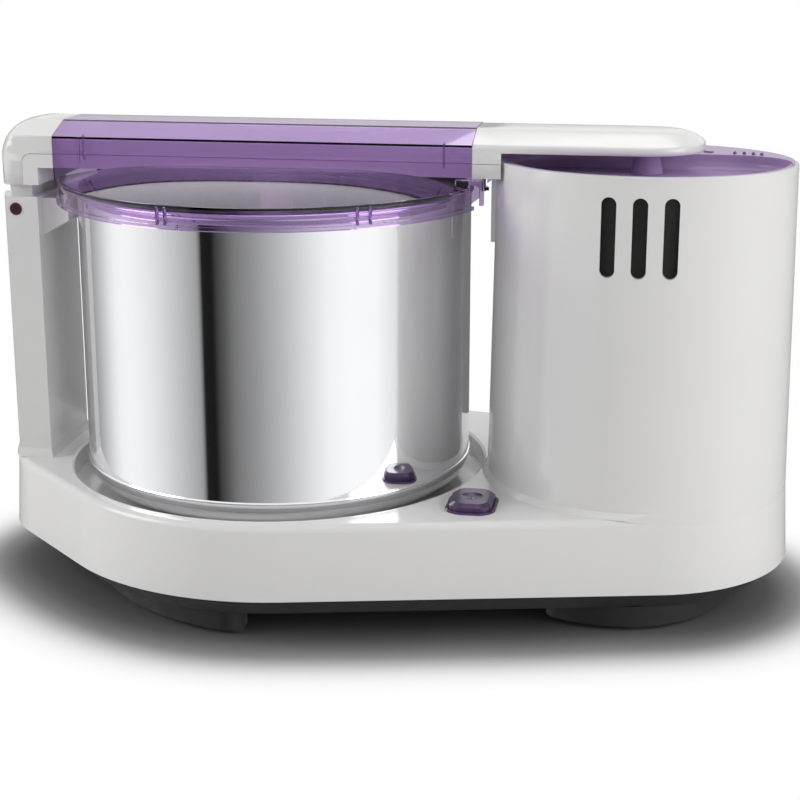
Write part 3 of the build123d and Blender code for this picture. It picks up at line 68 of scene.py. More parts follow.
# Corners nearer than this are one, how near a point lies to the line that it belongs to, and the
# angle above which an edge is shaded sharp
MERGE = 0.000002
NEAR = 0.00008
SHARP = 40
# Gloss plastic's index of refraction, and sides of what is round
PLASTIC_IOR = 1.49
DOME_SEGMENTS = 24
DOME_RINGS = 12
ROD_SIDES = 48
RING_STEPS = 40
# Tray screws: head's height, shank's radius, depth of the cross, and its reach over the head's radius
SCREW_HEAD = 0.0022
SCREW_SHANK = 0.0016
SCREW_RECESS = 0.0013
SCREW_CROSS = 1.15
# Springs: node, the joint that shortens it, its body, the joint's travel, and whether its top stays
SPRINGS = (
    ("cup_spring", "cup_press", "arm", 0.0040, True),
    ("switch_spring", "switch_press", "base", 0.0025, False),
)
# Arm: its bevel's width and height, and the level of its underside over the tower
ARM_BEVEL = (0.020, 0.007)
ARM_NOSE_LEVEL = 0.2452
# Where its tower end starts along X, where its underside steps up, and how far on that edge turns soft
ARM_COVER_X = 0.0488
ARM_STEP_X = 0.0641
ARM_STEP_RAMP = (0.002, 0.009)
# How far its soft bends reach from each corner: the level top's, the bevel's and the underside's
ARM_TOP_SOFT = 0.0045
ARM_RIDGE_SOFT = (0.0019, 0.0022)
ARM_NOSE_SOFT = 0.0018
ARM_BEND_STEPS = 4
# The tower's raised rear rim: its level above the tower's axis, its lean, and what stands on it
RIM_LEVEL = 0.2445
RIM_LEAN = 1.5
RIM_DOT_LINE = ((0.1867, 0.0290), (0.1917, 0.0286), (0.1966, 0.0272), (0.2011, 0.0247))
DOT_RISE = 1.3
RIM_POINTER = (0.1722, 0.0330)
# The pointer's two bars: length, turn, and place along the rim; then their width, height and soft edge
POINTER_BARS = ((0.0048, -14.0, 0.0), (0.0026, 38.0, 0.0019))
POINTER_SECTION = (0.0011, 0.0014)
POINTER_SOFT = 0.0004
# Ring and bar in the switch's hollow: depth below its top, wire's radius, ring's radius and the bar's
# length, and where each lies across the button
MARK_DROP = 0.0009
MARK_WIRE = 0.00022
MARK_RING = 0.0015
MARK_BAR = 0.0034
MARK_RING_X = -0.0016
MARK_BAR_X = 0.0021
# Lugs and pip on the lid's rim: compass angles about the drum, then radius, level and size
LUG_ANGLES = (-106.1, -103.9, -56.6, -53.2)
LUG_PLACE = (0.1202, 0.2256)
LUG_SECTION = (0.0020, 0.0094)
LUG_SOFT = 0.0004
PIP_ANGLE = -100.2
PIP_PLACE = (0.1213, 0.2206)
PIP_SIZE = (0.0009, 0.0012, 0.0012)
# Ribs on the tunnel's walls: places along X, middle level, size, soft edge, and how far inside the
# wall's face their middle lies
TUNNEL_RIBS = (-0.1662, 0.0336)
RIB_LEVEL = 0.2477
RIB_SIZE = (0.0011, 0.0014, 0.0138)
RIB_SOFT = 0.0003
RIB_SUNK = 0.0002
# Web in each finger hook: its corners along X and Z, and its two faces along Y
HOOK_WEB = ((0.0486, 0.2331), (0.0534, 0.2331), (0.0534, 0.2262), (0.0486, 0.2225))
HOOK_WEB_Y = (0.0378, 0.0388)
# Floor: half its width, the rounds that make up the base's plan (middle along X, and radius), and how
# softly these run together
FLOOR_REACH = 14.0
FLOOR_LOBES = (
    (-0.1625, 0.063), (-0.115, 0.099), (DRUM_X, 0.1305), (0.0, 0.119), (0.07, 0.104), (TOWER_X, 0.086),
)
FLOOR_BLEND = 0.03
# The floor's painted shadow: grey levels over a span of distance from the base, darker near it, and where it
# fades into the white around it
FLOOR_SPAN = (-0.03, 0.07)
FLOOR_PAINTED_SHADOW = ((0.0, 0.12), (0.2, 0.17), (0.3, 0.24), (0.4, 0.34), (0.5, 0.50), (0.6, 0.70), (0.7, 0.85))
FLOOR_FADE = (0.008, 0.057)
# Studio: light from all around, strength of what gloss mirrors, and its level above the horizon
STUDIO_LIGHT = 0.37
STUDIO_SHINE = 1.12
STUDIO_SKY = 0.95
STUDIO_HORIZON = 0.2
# Compass angle from the camera's side of the object, to its right, and how bright the studio is there
STUDIO_BANDS = (
    (-180, 0.16), (-148, 0.18), (-134, 0.285), (-124, 0.445), (-116, 0.61), (-109, 0.78), (-103, 0.90),
    (-96, 0.935), (-88, 0.92), (-77, 0.84), (-68, 0.735), (-60, 0.615), (-52, 0.50), (-44, 0.375),
    (-41.5, 0.32), (-39.5, 0.012), (-33, 0.010), (-31, 0.045), (-26, 0.10), (-21, 0.182), (-8, 0.31),
    (6, 0.49), (20, 0.715), (33, 0.92), (45, 0.98), (62, 0.97), (72, 0.835), (90, 0.535), (100, 0.39),
    (112, 0.27), (126, 0.19), (180, 0.15),
)
# Lamps: name, place, size across and power; and what they point at
STUDIO_LAMPS = (
    ("Left", (-1.5, -0.6, 0.85), 1.1, 14.0),
    ("Right", (1.5, -0.5, 0.75), 1.2, 14.2),
    ("Top", (0.1, 0.6, 1.6), 1.2, 8.0),
)
LAMP_AIM = (0.0, 0.0, 0.12)
# Camera: place, angle below level, compass angle and focal length in millimetres
VIEW_PLACE = (0.1652, -0.95175, 0.3739)
VIEW_PITCH = 15.72
VIEW_AZIMUTH = 9.59
VIEW_LENS = 78.6
WHITE = (1.0, 1.0, 1.0, 1.0)


# Settings


class GrinderColours(bpy.types.PropertyGroup):
    """Colours that a user would change."""

    body: FloatVectorProperty(
        name="Body", description="Gloss housing, column and arm", subtype="COLOR",
        size=3, min=0.0, max=1.0, default=(0.735, 0.730, 0.722),
    )
    plate: FloatVectorProperty(
        name="Under tray", description="Grained tray, feet bosses and inner mouldings", subtype="COLOR",
        size=3, min=0.0, max=1.0, default=(0.012, 0.012, 0.0125),
    )
    lid: FloatVectorProperty(
        name="Clear lid", description="Tint of the clear lid", subtype="COLOR",
        size=3, min=0.0, max=1.0, default=(0.57, 0.44, 0.68),
    )
    cap: FloatVectorProperty(
        name="Tower cap", description="Satin cap on the motor tower", subtype="COLOR",
        size=3, min=0.0, max=1.0, default=(0.40, 0.275, 0.50),
    )
    switch: FloatVectorProperty(
        name="Switch", description="Push switch in the deck", subtype="COLOR",
        size=3, min=0.0, max=1.0, default=(0.050, 0.021, 0.082),
    )


class GrinderTrim(bpy.types.PropertyGroup):
    """Sizes of the small trim."""

    dot_radius: FloatProperty(
        name="Dot radius", description="Radius of each dot on the tower's rim", subtype="DISTANCE",
        unit="LENGTH", default=0.0011,
    )
    dot_count: IntProperty(name="Dots", description="Dots on the tower's rim", default=4, min=1)
    recess_width: FloatProperty(
        name="Screw recess", description="Width of the cross in each tray screw", subtype="DISTANCE",
        unit="LENGTH", default=0.0009,
    )
    tip_reach: FloatProperty(
        name="Arm tip", description="How much further the arm's level top reaches than its corner's round",
        default=1.55, min=1.0, max=2.2,
    )
    lug_width: FloatProperty(
        name="Lid lug", description="Width of each lug on the lid's rim", subtype="DISTANCE",
        unit="LENGTH", default=0.0013,
    )


# Material helpers


def new_material(name):
    """An empty node material with a Principled shader, and what is needed to wire it."""
    material = bpy.data.materials.new(name)
    material.use_nodes = True
    tree = material.node_tree
    return material, tree, tree.nodes["Principled BSDF"]


def math_node(tree, operation, *values):
    """A Math node on values that are sockets or numbers."""
    node = tree.nodes.new("ShaderNodeMath")
    node.operation = operation
    for socket, value in zip(node.inputs, values):
        if isinstance(value, bpy.types.NodeSocket):
            tree.links.new(value, socket)
        else:
            socket.default_value = value
    return node.outputs["Value"]


def map_range(tree, value, low, high, smooth=False):
    """A value's place between two levels, from 0 to 1."""
    node = tree.nodes.new("ShaderNodeMapRange")
    if smooth:
        node.interpolation_type = "SMOOTHSTEP"
    node.inputs["From Min"].default_value = low
    node.inputs["From Max"].default_value = high
    tree.links.new(value, node.inputs["Value"])
    return node.outputs["Result"]


def mix_shaders(tree, share, first, second):
    """Two shaders mixed by a share."""
    node = tree.nodes.new("ShaderNodeMixShader")
    tree.links.new(share, node.inputs["Fac"])
    tree.links.new(first, node.inputs[1])
    tree.links.new(second, node.inputs[2])
    return node.outputs["Shader"]


def place_noise(tree, scale, detail, roughness=0.5, stretch=(1, 1, 1)):
    """Noise on Object coordinates, with a stretch along each axis."""
    where = tree.nodes.new("ShaderNodeTexCoord")
    mapping = tree.nodes.new("ShaderNodeMapping")
    mapping.inputs["Scale"].default_value = stretch
    noise = tree.nodes.new("ShaderNodeTexNoise")
    noise.inputs["Scale"].default_value = scale
    noise.inputs["Detail"].default_value = detail
    noise.inputs["Roughness"].default_value = roughness
    tree.links.new(where.outputs["Object"], mapping.inputs["Vector"])
    tree.links.new(mapping.outputs["Vector"], noise.inputs["Vector"])
    return noise.outputs["Fac"]


def ramp(tree, value, stops):
    """Colour ramp over a value; stops are (place, colour)."""
    node = tree.nodes.new("ShaderNodeValToRGB")
    band = node.color_ramp
    while len(band.elements) < len(stops):
        band.elements.new(0.5)
    for element, (place, colour) in zip(band.elements, stops):
        element.position = place
        element.color = (*colour, 1.0)
    tree.links.new(value, node.inputs["Fac"])
    return node.outputs["Color"]


def grey_ramp(tree, value, stops):
    """Colour ramp whose stops are (place, grey level)."""
    return ramp(tree, value, [(place, (level,) * 3) for place, level in stops])


def add_bump(tree, shader, height, strength, distance):
    """Bump from a height, into the shader's normal."""
    bump = tree.nodes.new("ShaderNodeBump")
    bump.inputs["Strength"].default_value = strength
    bump.inputs["Distance"].default_value = distance
    tree.links.new(height, bump.inputs["Height"])
    tree.links.new(bump.outputs["Normal"], shader.inputs["Normal"])


def shades(colour, spread):
    """A darker and a lighter version of a colour."""
    return [tuple(c * (1 - spread) for c in colour), tuple(min(1.0, c * (1 + spread)) for c in colour)]


def moulded_gloss(name, colour, rough=0.16, spread=0.012, ripple=0.05, wander=0.2):
    """Gloss moulded plastic: a faint long ripple, and a sheen that wanders a little."""
    material, tree, shader = new_material(name)
    dark, light = shades(colour, spread)
    drift = place_noise(tree, 9.0, 3.0)
    tree.links.new(ramp(tree, drift, [(0.3, dark), (0.7, light)]), shader.inputs["Base Color"])
    smear = place_noise(tree, 26.0, 4.0, 0.6)
    least, most = rough * (1 - 0.75 * wander), rough * (1 + 1.25 * wander)
    sheen = grey_ramp(tree, smear, [(0.35, least), (0.7, most)])
    tree.links.new(sheen, shader.inputs["Roughness"])
    shader.inputs["IOR"].default_value = PLASTIC_IOR
    add_bump(tree, shader, place_noise(tree, 260.0, 2.0), ripple, 0.0002)
    return material


def moulded_grain(name, colour, rough=0.55, grain=1400.0, depth=0.35):
    """Textured moulding, like spark-eroded plastic."""
    material, tree, shader = new_material(name)
    dark, light = shades(colour, 0.12)
    drift = place_noise(tree, 40.0, 5.0)
    tree.links.new(ramp(tree, drift, [(0.3, dark), (0.7, light)]), shader.inputs["Base Color"])
    tree.links.new(
        grey_ramp(tree, place_noise(tree, 90.0, 3.0), [(0.3, rough * 0.85), (0.7, rough * 1.15)]),
        shader.inputs["Roughness"],
    )
    shader.inputs["Specular IOR Level"].default_value = 0.3
    add_bump(tree, shader, place_noise(tree, grain, 4.0, 0.6), depth, 0.0002)
    return material


def metal(name, colour, rough, scratch=(1, 1, 1), scale=300.0, depth=0.05, spread=0.04):
    """Metal with a finish that runs along an axis where the scratch stretch says so."""
    material, tree, shader = new_material(name)
    dark, light = shades(colour, spread)
    drift = place_noise(tree, 30.0, 4.0)
    tree.links.new(ramp(tree, drift, [(0.3, dark), (0.7, light)]), shader.inputs["Base Color"])
    shader.inputs["Metallic"].default_value = 1.0
    lines = place_noise(tree, scale, 3.0, 0.6, scratch)
    sheen = grey_ramp(tree, lines, [(0.3, rough * 0.8), (0.75, rough * 1.3)])
    tree.links.new(sheen, shader.inputs["Roughness"])
    add_bump(tree, shader, lines, depth, 0.0001)
    return material


def granite(name):
    """Dressed black granite: crystals of three tones, with a fine tooled face."""
    material, tree, shader = new_material(name)
    where = tree.nodes.new("ShaderNodeTexCoord")
    crystals = tree.nodes.new("ShaderNodeTexVoronoi")
    crystals.inputs["Scale"].default_value = 520.0
    tree.links.new(where.outputs["Object"], crystals.inputs["Vector"])
    tones = ramp(
        tree, crystals.outputs["Color"],
        [(0.0, (0.020, 0.020, 0.022)), (0.45, (0.055, 0.055, 0.060)), (0.78, (0.13, 0.13, 0.135)),
         (1.0, (0.30, 0.30, 0.31))],
    )
    tree.links.new(tones, shader.inputs["Base Color"])
    tree.links.new(
        grey_ramp(tree, place_noise(tree, 400.0, 4.0), [(0.3, 0.42), (0.7, 0.68)]), shader.inputs["Roughness"]
    )
    add_bump(tree, shader, place_noise(tree, 700.0, 6.0, 0.7), 0.5, 0.0004)
    return material


def clear_tint(name, colour, rough=0.02):
    """Clear tinted moulding. Light that only casts a shadow goes straight through it, tinted."""
    material, tree, shader = new_material(name)
    dark, light = shades(colour, 0.03)
    drift = place_noise(tree, 14.0, 2.0)
    tree.links.new(ramp(tree, drift, [(0.3, dark), (0.7, light)]), shader.inputs["Base Color"])
    shader.inputs["Roughness"].default_value = rough
    shader.inputs["IOR"].default_value = PLASTIC_IOR
    shader.inputs["Transmission Weight"].default_value = 1.0
    through = tree.nodes.new("ShaderNodeBsdfTransparent")
    through.inputs["Color"].default_value = (*[c ** 0.5 for c in colour], 1.0)
    path = tree.nodes.new("ShaderNodeLightPath")
    seen = mix_shaders(tree, path.outputs["Is Shadow Ray"], shader.outputs["BSDF"], through.outputs["BSDF"])
    tree.links.new(seen, tree.nodes["Material Output"].inputs["Surface"])
    return material


# Mesh helpers


def plain_object(name, mesh):
    """A new object from a mesh, a lamp or a camera, at the origin."""
    thing = bpy.data.objects.new(name, mesh)
    bpy.context.scene.collection.objects.link(thing)
    return thing


def finish_node(node, material):
    """Gives a CAD node its material."""
    slots = NODES[node].data.materials
    slots.clear()
    slots.append(material)


def settle(piece, material, body):
    """Gives a new piece its material, and lets it ride on a body."""
    piece.data.materials.clear()
    piece.data.materials.append(material)
    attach(piece, body)
    return piece


def shaped(name, shape):
    """A new object from a closed bmesh, with its faces outwards and its soft edges shaded smooth."""
    bmesh.ops.recalc_face_normals(shape, faces=shape.faces)
    mesh = bpy.data.meshes.new(name)
    shape.to_mesh(mesh)
    shape.free()
    mesh.shade_smooth()
    mesh.set_sharp_from_angle(angle=math.radians(SHARP))
    return plain_object(name, mesh)


def add_block(shape, size, soft, place):
    """A block with soft edges, set by a matrix."""
    made = bmesh.ops.create_cube(shape, size=1.0)["verts"]
    bmesh.ops.transform(shape, verts=made, matrix=Matrix.Diagonal((*size, 1.0)))
    edges = list({edge for vert in made for edge in vert.link_edges})
    kept = set(shape.verts) - set(made)
    bmesh.ops.bevel(
        shape, geom=edges, offset=soft, segments=3, profile=0.5, affect="EDGES", clamp_overlap=True,
    )
    fresh = [vert for vert in shape.verts if vert not in kept]
    bmesh.ops.transform(shape, verts=fresh, matrix=place)


def add_ring(shape, middle, radius, wire):
    """A level ring of wire with four corners to its section."""
    rounds = []
    for step in range(RING_STEPS):
        turn = 2 * math.pi * step / RING_STEPS
        out = Vector((math.cos(turn), math.sin(turn), 0.0))
        centre = middle + out * radius
        rounds.append([
            shape.verts.new(centre + out * wire * math.cos(a) + Vector((0, 0, wire * math.sin(a))))
            for a in (0.0, math.pi / 2, math.pi, 3 * math.pi / 2)
        ])
    for here, there in zip(rounds, rounds[1:] + rounds[:1]):
        for a in range(4):
            shape.faces.new((here[a], there[a], there[a - 3], here[a - 3]))


def add_pip(shape, size, place):
    """A round pip, stretched along each axis."""
    bmesh.ops.create_uvsphere(
        shape, u_segments=DOME_SEGMENTS, v_segments=DOME_RINGS, radius=1.0,
        matrix=place @ Matrix.Diagonal((*size, 1.0)),
    )


def box_middle(low, high, level):
    """Middle of a box in plan, at a level."""
    return Vector(((low.x + high.x) / 2, (low.y + high.y) / 2, level))


def about_drum(radius, angle, level):
    """Matrix of a place at a radius and compass angle about the drum, with X pointing outwards."""
    turn = math.radians(angle)
    where = Vector((DRUM_X + radius * math.cos(turn), radius * math.sin(turn), level))
    return Matrix.Translation(where) @ Matrix.Rotation(turn, 4, "Z")


def rim_level(y):
    """Height of the tower's raised rear rim, which leans back."""
    return RIM_LEVEL - y * math.tan(math.radians(RIM_LEAN))


def on_rim(x, y, turn=0.0):
    """Matrix of a place on the tower's raised rear rim, square to it."""
    lean = Matrix.Rotation(-math.radians(RIM_LEAN), 4, "X")
    return Matrix.Translation((x, y, rim_level(y))) @ lean @ Matrix.Rotation(math.radians(turn), 4, "Z")


def new_tree(name, inputs):
    """An empty Geometry Nodes tree with named inputs, its input and output nodes and socket names."""
    tree = bpy.data.node_groups.new(name, "GeometryNodeTree")
    sockets = {}
    tree.interface.new_socket("Geometry", in_out="INPUT", socket_type="NodeSocketGeometry")
    for label, kind in inputs:
        made = tree.interface.new_socket(label, in_out="INPUT", socket_type="NodeSocket" + kind)
        sockets[label] = made.identifier
    tree.interface.new_socket("Geometry", in_out="OUTPUT", socket_type="NodeSocketGeometry")
    return tree, tree.nodes.new("NodeGroupInput"), tree.nodes.new("NodeGroupOutput"), sockets


def repeat_shape(tree, source, end, shape, material):
    """Puts a shape on each point of the source, and ends in Realize Instances and Set Material."""
    points = tree.nodes.new("GeometryNodeMeshToPoints")
    copies = tree.nodes.new("GeometryNodeInstanceOnPoints")
    real = tree.nodes.new("GeometryNodeRealizeInstances")
    finish = tree.nodes.new("GeometryNodeSetMaterial")
    finish.inputs["Material"].default_value = material
    tree.links.new(source, points.inputs["Mesh"])
    tree.links.new(points.outputs["Points"], copies.inputs["Points"])
    tree.links.new(shape, copies.inputs["Instance"])
    tree.links.new(copies.outputs["Instances"], real.inputs["Geometry"])
    tree.links.new(real.outputs["Geometry"], finish.inputs["Geometry"])
    tree.links.new(finish.outputs["Geometry"], end.inputs["Geometry"])


def rim_dots_tree(material):
    """Domed studs in a row: radius, height and how many."""
    tree, start, end, sockets = new_tree(
        "Rim dots", [("Radius", "Float"), ("Height", "Float"), ("Count", "Int")]
    )
    stud = tree.nodes.new("GeometryNodeMeshUVSphere")
    stud.inputs["Segments"].default_value = DOME_SEGMENTS
    stud.inputs["Rings"].default_value = DOME_RINGS
    tree.links.new(start.outputs["Radius"], stud.inputs["Radius"])
    tall = tree.nodes.new("ShaderNodeCombineXYZ")
    share = math_node(tree, "DIVIDE", start.outputs["Height"], start.outputs["Radius"])
    tall.inputs["X"].default_value = 1.0
    tall.inputs["Y"].default_value = 1.0
    tree.links.new(share, tall.inputs["Z"])
    stretch = tree.nodes.new("GeometryNodeTransform")
    tree.links.new(stud.outputs["Mesh"], stretch.inputs["Geometry"])
    tree.links.new(tall.outputs["Vector"], stretch.inputs["Scale"])
    smooth = tree.nodes.new("GeometryNodeSetShadeSmooth")
    tree.links.new(stretch.outputs["Geometry"], smooth.inputs["Geometry"])
    # The row follows its own line, cut into as many points as there are dots
    curve = tree.nodes.new("GeometryNodeMeshToCurve")
    cut = tree.nodes.new("GeometryNodeResampleCurve")
    row = tree.nodes.new("GeometryNodeCurveToMesh")
    tree.links.new(start.outputs["Geometry"], curve.inputs["Mesh"])
    tree.links.new(curve.outputs["Curve"], cut.inputs["Curve"])
    tree.links.new(start.outputs["Count"], cut.inputs["Count"])
    tree.links.new(cut.outputs["Curve"], row.inputs["Curve"])
    repeat_shape(tree, row.outputs["Mesh"], end, smooth.outputs["Geometry"], material)
    return tree, sockets


def tray_screws_tree(material):
    """Pan-head screws driven from below: head, shank and a cross cut in the head."""
    tree, start, end, sockets = new_tree(
        "Tray screws",
        [("Head radius", "Float"), ("Head height", "Float"), ("Shank radius", "Float"),
         ("Length", "Float"), ("Recess width", "Float"), ("Recess depth", "Float")],
    )

    def rod(radius, length, low):
        """A cylinder of the tree's own sizes, whose lower end is at a level."""
        made = tree.nodes.new("GeometryNodeMeshCylinder")
        made.inputs["Vertices"].default_value = ROD_SIDES
        tree.links.new(radius, made.inputs["Radius"])
        tree.links.new(length, made.inputs["Depth"])
        place = tree.nodes.new("ShaderNodeCombineXYZ")
        tree.links.new(math_node(tree, "MULTIPLY_ADD", length, 0.5, low), place.inputs["Z"])
        move = tree.nodes.new("GeometryNodeTransform")
        tree.links.new(made.outputs["Mesh"], move.inputs["Geometry"])
        tree.links.new(place.outputs["Vector"], move.inputs["Translation"])
        return move.outputs["Geometry"]

    def bar(across, along):
        """One arm of the cross, centred on the head's face."""
        size = tree.nodes.new("ShaderNodeCombineXYZ")
        tree.links.new(across, size.inputs["X"])
        tree.links.new(along, size.inputs["Y"])
        tree.links.new(math_node(tree, "MULTIPLY", start.outputs["Recess depth"], 2.0), size.inputs["Z"])
        made = tree.nodes.new("GeometryNodeMeshCube")
        tree.links.new(size.outputs["Vector"], made.inputs["Size"])
        return made.outputs["Mesh"]

    head = rod(start.outputs["Head radius"], start.outputs["Head height"], 0.0)
    shank = rod(start.outputs["Shank radius"], start.outputs["Length"], start.outputs["Head height"])
    span = math_node(tree, "MULTIPLY", start.outputs["Head radius"], SCREW_CROSS)
    wide = start.outputs["Recess width"]
    cross = tree.nodes.new("GeometryNodeMeshBoolean")
    cross.operation = "UNION"
    tree.links.new(bar(wide, span), cross.inputs[1])
    tree.links.new(bar(span, wide), cross.inputs[1])
    cut = tree.nodes.new("GeometryNodeMeshBoolean")
    cut.operation = "DIFFERENCE"
    tree.links.new(head, cut.inputs[0])
    tree.links.new(cross.outputs["Mesh"], cut.inputs[1])
    joined = tree.nodes.new("GeometryNodeJoinGeometry")
    tree.links.new(cut.outputs["Mesh"], joined.inputs["Geometry"])
    tree.links.new(shank, joined.inputs["Geometry"])
    repeat_shape(tree, start.outputs["Geometry"], end, joined.outputs["Geometry"], material)
    return tree, sockets


def tree_object(name, built, source, values, material, body):
    """Runs a Geometry Nodes tree once, keeps the plain mesh and lets it ride on a body."""
    tree, sockets = built
    mesh = bpy.data.meshes.new(name + "_maker")
    mesh.from_pydata(source, [(i, i + 1) for i in range(len(source) - 1)], [])
    maker = plain_object(name + "_maker", mesh)
    modifier = maker.modifiers.new("Nodes", "NODES")
    modifier.node_group = tree
    for label, value in values.items():
        modifier[sockets[label]] = value
    depsgraph = bpy.context.evaluated_depsgraph_get()
    mesh = bpy.data.meshes.new_from_object(maker.evaluated_get(depsgraph), depsgraph=depsgraph)
    bpy.data.objects.remove(maker)
    mesh.name = name
    return settle(plain_object(name, mesh), material, body)


# Operators


class GRINDER_OT_mouldings(bpy.types.Operator):
    """Gloss housing, column, arm and the parts of the same plastic"""

    bl_idname = "grinder.mouldings"
    bl_label = "Gloss mouldings"

    def execute(self, context):
        colours = context.scene.grinder_colours
        body = moulded_gloss("Gloss_body", colours.body)
        for node in ("body_housing", "arm_column", "arm_upper", "arm_lower", "tower_catch"):
            finish_node(node, body)
        nylon = moulded_gloss("Natural_nylon", (0.70, 0.68, 0.64), rough=0.38, spread=0.02, ripple=0.1)
        for node in (
            "stone_holder", "scraper", "pressure_cup", "arm_knuckle", "roller_bush_1", "roller_bush_2",
            "drum_coupling", "driven_pulley", "motor_pulley",
        ):
            finish_node(node, nylon)
        maroon = moulded_gloss("Pin_caps", (0.055, 0.012, 0.022), rough=0.3)
        for node in ("hinge_cap_front", "hinge_cap_back"):
            finish_node(node, maroon)
        return {"FINISHED"}


def bend(start, corner, end, share):
    """Point on the soft bend that replaces a corner."""
    keep = 1 - share
    return tuple(
        keep * keep * a + 2 * keep * share * b + share * share * c for a, b, c in zip(start, corner, end)
    )


def arm_bends(half, flat, slope, nose):
    """Where points of the arm's section go: (half-width, drop) before and after, with its corners soft."""
    inner, outer = ARM_RIDGE_SOFT
    ridge = -(half - flat) * slope
    top = ((flat - ARM_TOP_SOFT, 0.0), (flat, 0.0), (flat + ARM_TOP_SOFT, -ARM_TOP_SOFT * slope))
    side = ((half - inner, ridge + inner * slope), (half, ridge), (half, ridge - outer))
    under = ((half, nose + ARM_NOSE_SOFT), (half, nose), (half - ARM_NOSE_SOFT, nose))
    moves = []
    for step in range(ARM_BEND_STEPS + 1):
        share = step / ARM_BEND_STEPS
        moves.append(((flat + ARM_TOP_SOFT * share, -ARM_TOP_SOFT * share * slope), bend(*top, share)))
        before = (half - inner * (1 - 2 * share), ridge + inner * (1 - 2 * share) * slope)
        if share > 0.5:
            before = (half, ridge - outer * (2 * share - 1))
        moves.append((before, bend(*side, share)))
        moves.append(((half, nose + ARM_NOSE_SOFT * (1 - share)), bend(*under, share)))
    return moves


class GRINDER_OT_arm_cover(bpy.types.Operator):
    """Upper cover of the arm, with its tower end rounded and its tip drawn out"""

    bl_idname = "grinder.arm_cover"
    bl_label = "Arm cover"

    def execute(self, context):
        trim = context.scene.grinder_trim
        low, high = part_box("arm_upper")
        half = (high.y - low.y) / 2
        flat = half - ARM_BEVEL[0]
        slope = ARM_BEVEL[1] / ARM_BEVEL[0]
        nose = ARM_NOSE_LEVEL - high.z
        turn_x = high.x - half
        moves = arm_bends(half, flat, slope, nose)
        shape = bmesh.new()
        shape.from_mesh(NODES["arm_upper"].data)
        bmesh.ops.remove_doubles(shape, verts=shape.verts, dist=MERGE)
        cuts = [((0, 0, high.z + drop), (0, 0, 1)) for (_, drop), _ in moves if drop < 0]
        cuts += [((ARM_STEP_X + along, 0, 0), (1, 0, 0)) for along in ARM_STEP_RAMP]
        for place, across in cuts:
            bmesh.ops.bisect_plane(
                shape, geom=shape.verts[:] + shape.edges[:] + shape.faces[:], dist=MERGE,
                plane_co=place, plane_no=across,
            )
        for vert in shape.verts:
            if vert.co.x < ARM_COVER_X:
                continue
            along = max(0.0, vert.co.x - turn_x)
            radius = math.hypot(along, vert.co.y)
            drop = vert.co.z - high.z
            on_bevel = radius > flat - NEAR and abs(drop + (radius - flat) * slope) < NEAR
            if radius < half - NEAR and not on_bevel:
                continue
            for (old_radius, old_drop), (new_radius, new_drop) in moves:
                if abs(radius - old_radius) < NEAR and abs(drop - old_drop) < NEAR:
                    # The underside's bend starts gently behind its step
                    share = 1.0
                    if old_drop < nose + ARM_NOSE_SOFT + NEAR:
                        start, end = ARM_STEP_RAMP
                        share = min(1.0, max(0.0, (vert.co.x - ARM_STEP_X - start) / (end - start)))
                    grow = 1 + share * (new_radius / radius - 1)
                    vert.co.y *= grow
                    if along > 0:
                        vert.co.x = turn_x + along * grow
                    vert.co.z += share * (new_drop - old_drop)
                    radius = new_radius
                    break
            # The level top reaches further towards the tip than the bevel beside it
            if along > 0 and drop > -ARM_BEVEL[1] - ARM_RIDGE_SOFT[1] - NEAR:
                share = min(1.0, max(0.0, (half - radius) / ARM_BEVEL[0]))
                vert.co.x = turn_x + (vert.co.x - turn_x) * (1 + (trim.tip_reach - 1) * share)
        cover = shaped("arm_cover", shape)
        settle(cover, bpy.data.materials["Gloss_body"], "arm")
        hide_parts("arm_upper")
        return {"FINISHED"}


class GRINDER_OT_underside(bpy.types.Operator):
    """Tray, feet, screws and dark inner mouldings"""

    bl_idname = "grinder.underside"
    bl_label = "Tray and feet"

    def execute(self, context):
        colours = context.scene.grinder_colours
        grain = moulded_grain("Tray_grain", colours.plate)
        for node in (
            "bottom_tray", "bearing_housing", "vent_liner", "motor_fan", "cord_gland", "switch_body",
            "capacitor",
        ):
            finish_node(node, grain)
        pad = moulded_grain("Foot_rubber", (0.030, 0.030, 0.032), rough=0.8, grain=900.0, depth=0.5)
        for node in (
            "foot_pad_drum_front", "foot_pad_drum_back", "foot_pad_tower_front", "foot_pad_tower_back",
        ):
            finish_node(node, pad)
        belt = moulded_grain("Belt_rubber", (0.018, 0.018, 0.018), rough=0.7)
        finish_node("drive_belt", belt)
        zinc = metal("Zinc_screws", (0.55, 0.55, 0.57), 0.32)
        for node in ("motor_bolt_1", "motor_bolt_2", "motor_bolt_3", "motor_bolt_4", "capacitor_clip"):
            finish_node(node, zinc)
        # The tray's screws, made again with a cross in each head
        trim = context.scene.grinder_trim
        boxes = [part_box(f"tray_screw_{number}") for number in (1, 2, 3, 4)]
        places = [tuple(box_middle(low, high, low.z)) for low, high in boxes]
        low, high = boxes[0]
        screws = tree_object(
            "tray_screws", tray_screws_tree(zinc), places,
            {"Head radius": (high.x - low.x) / 2, "Head height": SCREW_HEAD, "Shank radius": SCREW_SHANK,
             "Length": high.z - low.z - SCREW_HEAD, "Recess width": trim.recess_width,
             "Recess depth": SCREW_RECESS},
            zinc, "base",
        )
        for number in (1, 2, 3, 4):
            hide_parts(f"tray_screw_{number}")
        return {"FINISHED"}


